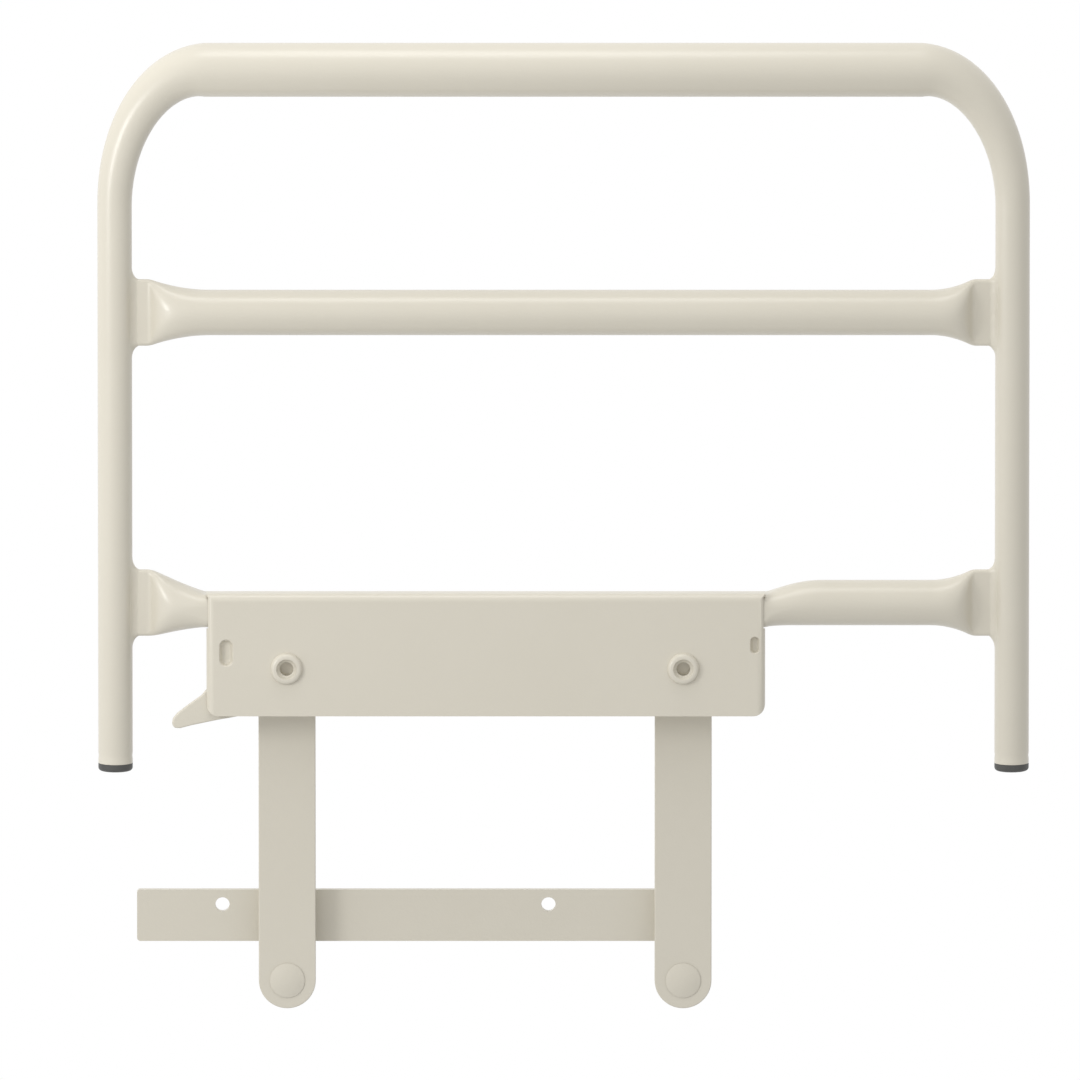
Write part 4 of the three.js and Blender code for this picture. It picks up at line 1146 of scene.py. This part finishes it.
# Bed bracket: a flat steel bar with two bolt holes and two lugs welded to its front, which hang below
# it. A riveted pin with a low domed head goes through each lug, a spacer and the link's lower bush.
BAR_CORNER = 2 * MM
BAR_CORNER_STEPS = 6
BAR_EDGE = 0.6 * MM
BOLT_HOLE_RADIUS = 4.5 * MM
BOLT_HOLE_SPACING = 206 * MM
BOLT_HOLE_Z = 7 * MM
LUG_STEPS = 24
LOWER_HEAD_RIM = 0.25 * MM
LOWER_HEAD_CROWN_POWER = 2
LOWER_TAIL_RADIUS = 8.5 * MM
LUG_BEAD = 2 * MM
LUG_BEAD_STEPS = 26
LUG_BEAD_SIDES = 16
LUG_BEAD_TAPER_SHARE = 0.06
LUG_BEAD_TAPER_POWER = 0.35
LUG_BEAD_RIB_SHARE = 0.1


def bed_bar():
    low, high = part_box("base_bar")
    left, right = low.x + BAR_CORNER, high.x - BAR_CORNER
    bottom, top = low.z + BAR_CORNER, high.z - BAR_CORNER
    points = []
    for x, z, first in ((right, bottom, -90), (right, top, 0), (left, top, 90), (left, bottom, 180)):
        points += arc(x, z, BAR_CORNER, first, first + 90, BAR_CORNER_STEPS)
    hole_places = [(side * BOLT_HOLE_SPACING / 2, 0, BOLT_HOLE_Z) for side in (-1, 1)]
    holes = [(place, BOLT_HOLE_RADIUS) for place in hole_places]
    return plate("bed_bar", "base_bar", points, holes, cream_coat, BAR_EDGE, STRAP_EDGE_SEGMENTS)


def bracket_lug():
    node = "base_lug_left"
    low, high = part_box(node)
    points = arc(lower_pivot.x, lower_pivot.z, half_width(node), 180, 360, LUG_STEPS)
    points += [(high.x, high.z), (low.x, high.z)]
    holes = [(lower_pivot, PIN_BORE)]
    return plate("bracket_lug_left", node, points, holes, cream_coat, BAR_EDGE, STRAP_EDGE_SEGMENTS)


def straight_bead(name, first_end, last_end):
    """A ribbed weld bead between two points, one above the other or side by side."""
    way = last_end - first_end
    axis = "Z" if abs(way.z) > abs(way.x) else "X"
    profile = []
    for step, share in enumerate(shares(LUG_BEAD_STEPS)):
        along = LUG_BEAD_TAPER_SHARE + (1 - 2 * LUG_BEAD_TAPER_SHARE) * share
        taper = math.sin(math.pi * along) ** LUG_BEAD_TAPER_POWER
        rib = 1 - LUG_BEAD_RIB_SHARE * (step % 2)
        profile.append((LUG_BEAD * taper * rib, way.length * share))
    return turned(name, first_end, axis, profile, LUG_BEAD_SIDES)


def lug_beads():
    """Up both edges of each lug and under the bar between them. The bar ends inside the right lug."""
    bar_low, bar_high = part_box("base_bar")
    low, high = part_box("base_lug_left")
    foot = Vector((low.x, high.y, bar_low.z + LUG_BEAD))
    first_bead = straight_bead("lug_weld_left_a", foot, Vector((low.x, high.y, high.z - LUG_BEAD)))
    beads = [first_bead]
    for side_name in ("left", "right"):
        low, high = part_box("base_lug_" + side_name)
        left_x, right_x = max(low.x, bar_low.x), min(high.x, bar_high.x)
        name = "lug_weld_" + side_name
        if side_name == "right":
            beads.append(copied(first_bead, name + "_a", (left_x - foot.x, 0, 0)))
        beads.append(copied(first_bead, name + "_b", (right_x - foot.x, 0, 0)))
        left_end = Vector((left_x + LUG_BEAD, high.y, bar_low.z))
        right_end = Vector((right_x - LUG_BEAD, high.y, bar_low.z))
        beads.append(straight_bead(name + "_c", left_end, right_end))
    return beads


def riveted_pin():
    front, back, head_radius = round_size("lower_pivot_pin_left")
    seat = forward("link_left")[0] + RUN_GAP
    tail = forward("base_lug_left")[1]
    drop = seat + LOWER_HEAD_RIM - front
    profile = swept(0, head_radius, front, drop, LOWER_HEAD_CROWN_POWER, DOME_STEPS)[1:]
    profile += [(head_radius, seat), (PIN_RADIUS, seat), (PIN_RADIUS, tail), (LOWER_TAIL_RADIUS, tail)]
    profile += [(LOWER_TAIL_RADIUS, back + PIN_CHAMFER), (LOWER_TAIL_RADIUS - 2 * PIN_CHAMFER, back)]
    return finish(turned("riveted_pin_left", lower_pivot, "Y", profile, HOOP_SIDES), cream_coat)


fit(bed_bar(), "base", "base_bar")
for bead in lug_beads():
    lay_bead(bead, "base")
spacer = pivot_sleeve("steel_spacer_left", "lower_spacer_left", zinc)
fit_pair(bracket_lug(), pivot_step, "base", "base_lug_left")
fit_pair(riveted_pin(), pivot_step, "base", "lower_pivot_pin_left")
fit_pair(spacer, pivot_step, "base", "lower_spacer_left")


# Latch: a coated steel handle whose tip sticks out under the housing's left corner, and a zinc-plated
# pawl behind it. Both are pressed on one hub, which turns on a pin welded inside the housing.
HUB_RADIUS = 8 * MM
LATCH_BORE = HUB_RADIUS + RUN_GAP
LATCH_RING = LATCH_BORE + 2.7 * MM
LATCH_PIN_RADIUS = 4 * MM
RETAINER_THICKNESS = 2 * MM
HANDLE_REACH = 34.4 * MM
HANDLE_DROP = 48.9 * MM
HANDLE_EDGE = 1.1 * MM
HANDLE_EDGE_SEGMENTS = 4
HANDLE_LOWER_SHARES = [(-0.25, 0.84), (0.19, 0.895), (0.63, 0.96), (0.85, 1), (0.955, 0.995), (1, 0.94)]
HANDLE_UPPER_SHARES = [(0.98, 0.87), (0.9, 0.8), (0.68, 0.68), (0.46, 0.57), (0.33, 0.46)]
LATCH_GAP = 0.6 * MM
PAWL_ARM_DEGREES = 232
PAWL_EDGE = 0.4 * MM
EAR_HOLE_RADIUS = 1 * MM
EAR_HOLE_DROP = 2.4 * MM

latch_pivot = axle("latch_pivot_pin")
ear_hole = Vector((middle("latch_spring").x, 0, latch_pivot.z - LATCH_RING - EAR_HOLE_DROP))
dimple_lump = DIMPLE_DEPTH * DIMPLE_BACK_SHARES[-1][0] - SHEET


def latch_handle():
    x, z = latch_pivot.x, latch_pivot.z
    table = HANDLE_LOWER_SHARES + HANDLE_UPPER_SHARES
    outline = [(x - reach * HANDLE_REACH, z - drop * HANDLE_DROP) for reach, drop in table]
    points = arc(x, z, LATCH_RING, 0, 180, LINK_STEPS) + outline[::-1] + [(x + LATCH_RING, outline[0][1])]
    look = (cream_coat, HANDLE_EDGE, HANDLE_EDGE_SEGMENTS)
    piece = plate("beak_handle", "latch_handle", points, [(latch_pivot, LATCH_BORE)], *look)
    fit(piece, "latch", "latch_handle")


def latch_pawl():
    x, z = latch_pivot.x, latch_pivot.z
    head_radius = half_width("link_left")
    head_x, head_z = left_pivot.x, left_pivot.z
    clear = head_radius + LATCH_GAP
    notch_x = NOTCH_DEPTH - head_radius
    floor_z = -math.sqrt(head_radius**2 - notch_x**2) - NOTCH_FLOOR
    tip_x = notch_x - LATCH_GAP
    tip_angle = 180 + math.degrees(math.acos(-tip_x / clear))
    ear_angle = 180 + math.degrees(math.asin((LATCH_RING + head_z - z) / clear))
    points = arc(x, z, LATCH_RING, 0, PAWL_ARM_DEGREES, LINK_STEPS)
    points.append((head_x - clear, head_z + floor_z - NOTCH_RAMP + LATCH_GAP))
    points.append((head_x + tip_x, head_z + floor_z + LATCH_GAP))
    points += arc(head_x, head_z, clear, tip_angle, ear_angle, LUG_STEPS)
    points.append((x + LATCH_RING, z - LATCH_RING))
    holes = [(latch_pivot, LATCH_BORE), (ear_hole, EAR_HOLE_RADIUS)]
    piece = plate("latch_catch", "latch_pawl", points, holes, zinc, PAWL_EDGE)
    fit(piece, "latch", "latch_pawl")


def latch_hub():
    """The bush that handle and catch are pressed on. It ends behind the lump of the cover's dimple."""
    front, back = forward("latch_hub")
    inner = LATCH_PIN_RADIUS + RUN_GAP
    piece = sleeve("latch_bush", latch_pivot, inner, HUB_RADIUS, front - dimple_lump, back)
    fit(finish(piece, zinc), "latch", "latch_hub")


def latch_pin():
    """The pin that the latch turns on, with a round retainer behind."""
    front, back, retainer_radius = round_size("latch_pivot_pin")
    shoulder = back + RETAINER_THICKNESS
    profile = [
        (LATCH_PIN_RADIUS, front - dimple_lump),
        (LATCH_PIN_RADIUS, shoulder),
        (retainer_radius, shoulder),
        (retainer_radius, back + STUD_CHAMFER),
        (retainer_radius - STUD_CHAMFER, back),
    ]
    piece = finish(turned("latch_pin", latch_pivot, "Y", profile), zinc)
    fit(piece, "guard_frame", "latch_pivot_pin")


latch_handle()
latch_pawl()
latch_hub()
latch_pin()


# Latch spring: music wire wound into an extension spring, with a round hook at each end.
# The lower hook goes through the catch's ear and the upper one over the stud.
WIRE_RADIUS = 0.6 * MM
WIRE_SIDES = 10
WIRE_SMOOTH_STEPS = 2
WIRE_ORDER = 3
COIL_RADIUS = 2.6 * MM
COIL_TURNS = 12
COIL_PITCH = 2.2 * MM
TURN_STEPS = 20
HOOK_STEPS = 24
HOOK_CORNER = 1.3 * MM
HOOK_CORNER_STEPS = 6
HOOK_SIDE = 3.4 * MM
TOP_HOOK_GAP_DEGREES = 35
STUD_PLAY = 0.05 * MM
WIRE_COLOURS = [(0.34, 0.34, 0.35, 1), (0.5, 0.5, 0.51, 1)]
WIRE_TONE_NOISE = (1.2 * MM, 3, 0.5)
WIRE_ROUGHNESS = (0.25, 0.45)


def spring_wire():
    graph, place = new_material("spring_wire")
    tone = graph.noise(place, *WIRE_TONE_NOISE)
    return paint(graph, tone, WIRE_COLOURS, tone, WIRE_ROUGHNESS, {"Metallic": 1})


def spring_points():
    """The wire's centre line, from the free end of the upper hook to that of the lower one."""
    x, y, z = middle("latch_spring")
    hook_radius = half_width("spring_anchor") + WIRE_RADIUS + STUD_PLAY
    stud_z = middle("spring_anchor").z
    top_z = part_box("latch_spring")[1].z - WIRE_RADIUS
    bottom_z = top_z - COIL_TURNS * COIL_PITCH
    points = []
    for share in shares(HOOK_STEPS):
        angle = math.radians(-90 + TOP_HOOK_GAP_DEGREES + (360 - TOP_HOOK_GAP_DEGREES) * share)
        points.append((x + hook_radius * math.cos(angle), y, stud_z + hook_radius * math.sin(angle)))
    for step in range(COIL_TURNS * TURN_STEPS + 1):
        angle = 2 * math.pi * step / TURN_STEPS
        drop = COIL_PITCH * step / TURN_STEPS
        points.append((x + COIL_RADIUS * math.cos(angle), y + COIL_RADIUS * math.sin(angle), top_z - drop))
    for side, first in ((1, 0), (-1, -90)):
        for share in shares(HOOK_CORNER_STEPS):
            angle = math.radians(first - 90 * share)
            turn_y = y + side * (HOOK_SIDE - HOOK_CORNER) + HOOK_CORNER * math.cos(angle)
            points.append((x, turn_y, ear_hole.z + HOOK_CORNER + HOOK_CORNER * math.sin(angle)))
    points.append((x, y - HOOK_SIDE, bottom_z - 2 * WIRE_RADIUS))
    return points


def latch_spring():
    curve = bpy.data.curves.new("wire_spring", "CURVE")
    curve.dimensions = "3D"
    curve.bevel_depth = WIRE_RADIUS
    curve.bevel_resolution = WIRE_SIDES // 2 - 2
    curve.resolution_u = WIRE_SMOOTH_STEPS
    curve.use_fill_caps = True
    points = spring_points()
    wire = curve.splines.new("NURBS")
    wire.points.add(len(points) - 1)
    for point, place in zip(wire.points, points):
        point.co = (*place, 1)
    wire.order_u = WIRE_ORDER
    wire.use_endpoint_u = True
    piece = bpy.data.objects.new("wire_spring", curve)
    bpy.context.collection.objects.link(piece)
    pick(piece)
    bpy.ops.object.convert(target="MESH")
    bpy.ops.object.mode_set(mode="EDIT")
    bpy.ops.mesh.select_all(action="SELECT")
    bpy.ops.mesh.remove_doubles(threshold=CLOSE)
    close_up(piece)
    finish(piece, spring_wire(), WELD_SMOOTH_ANGLE)
    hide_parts("latch_spring")
    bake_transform(piece)


latch_spring()
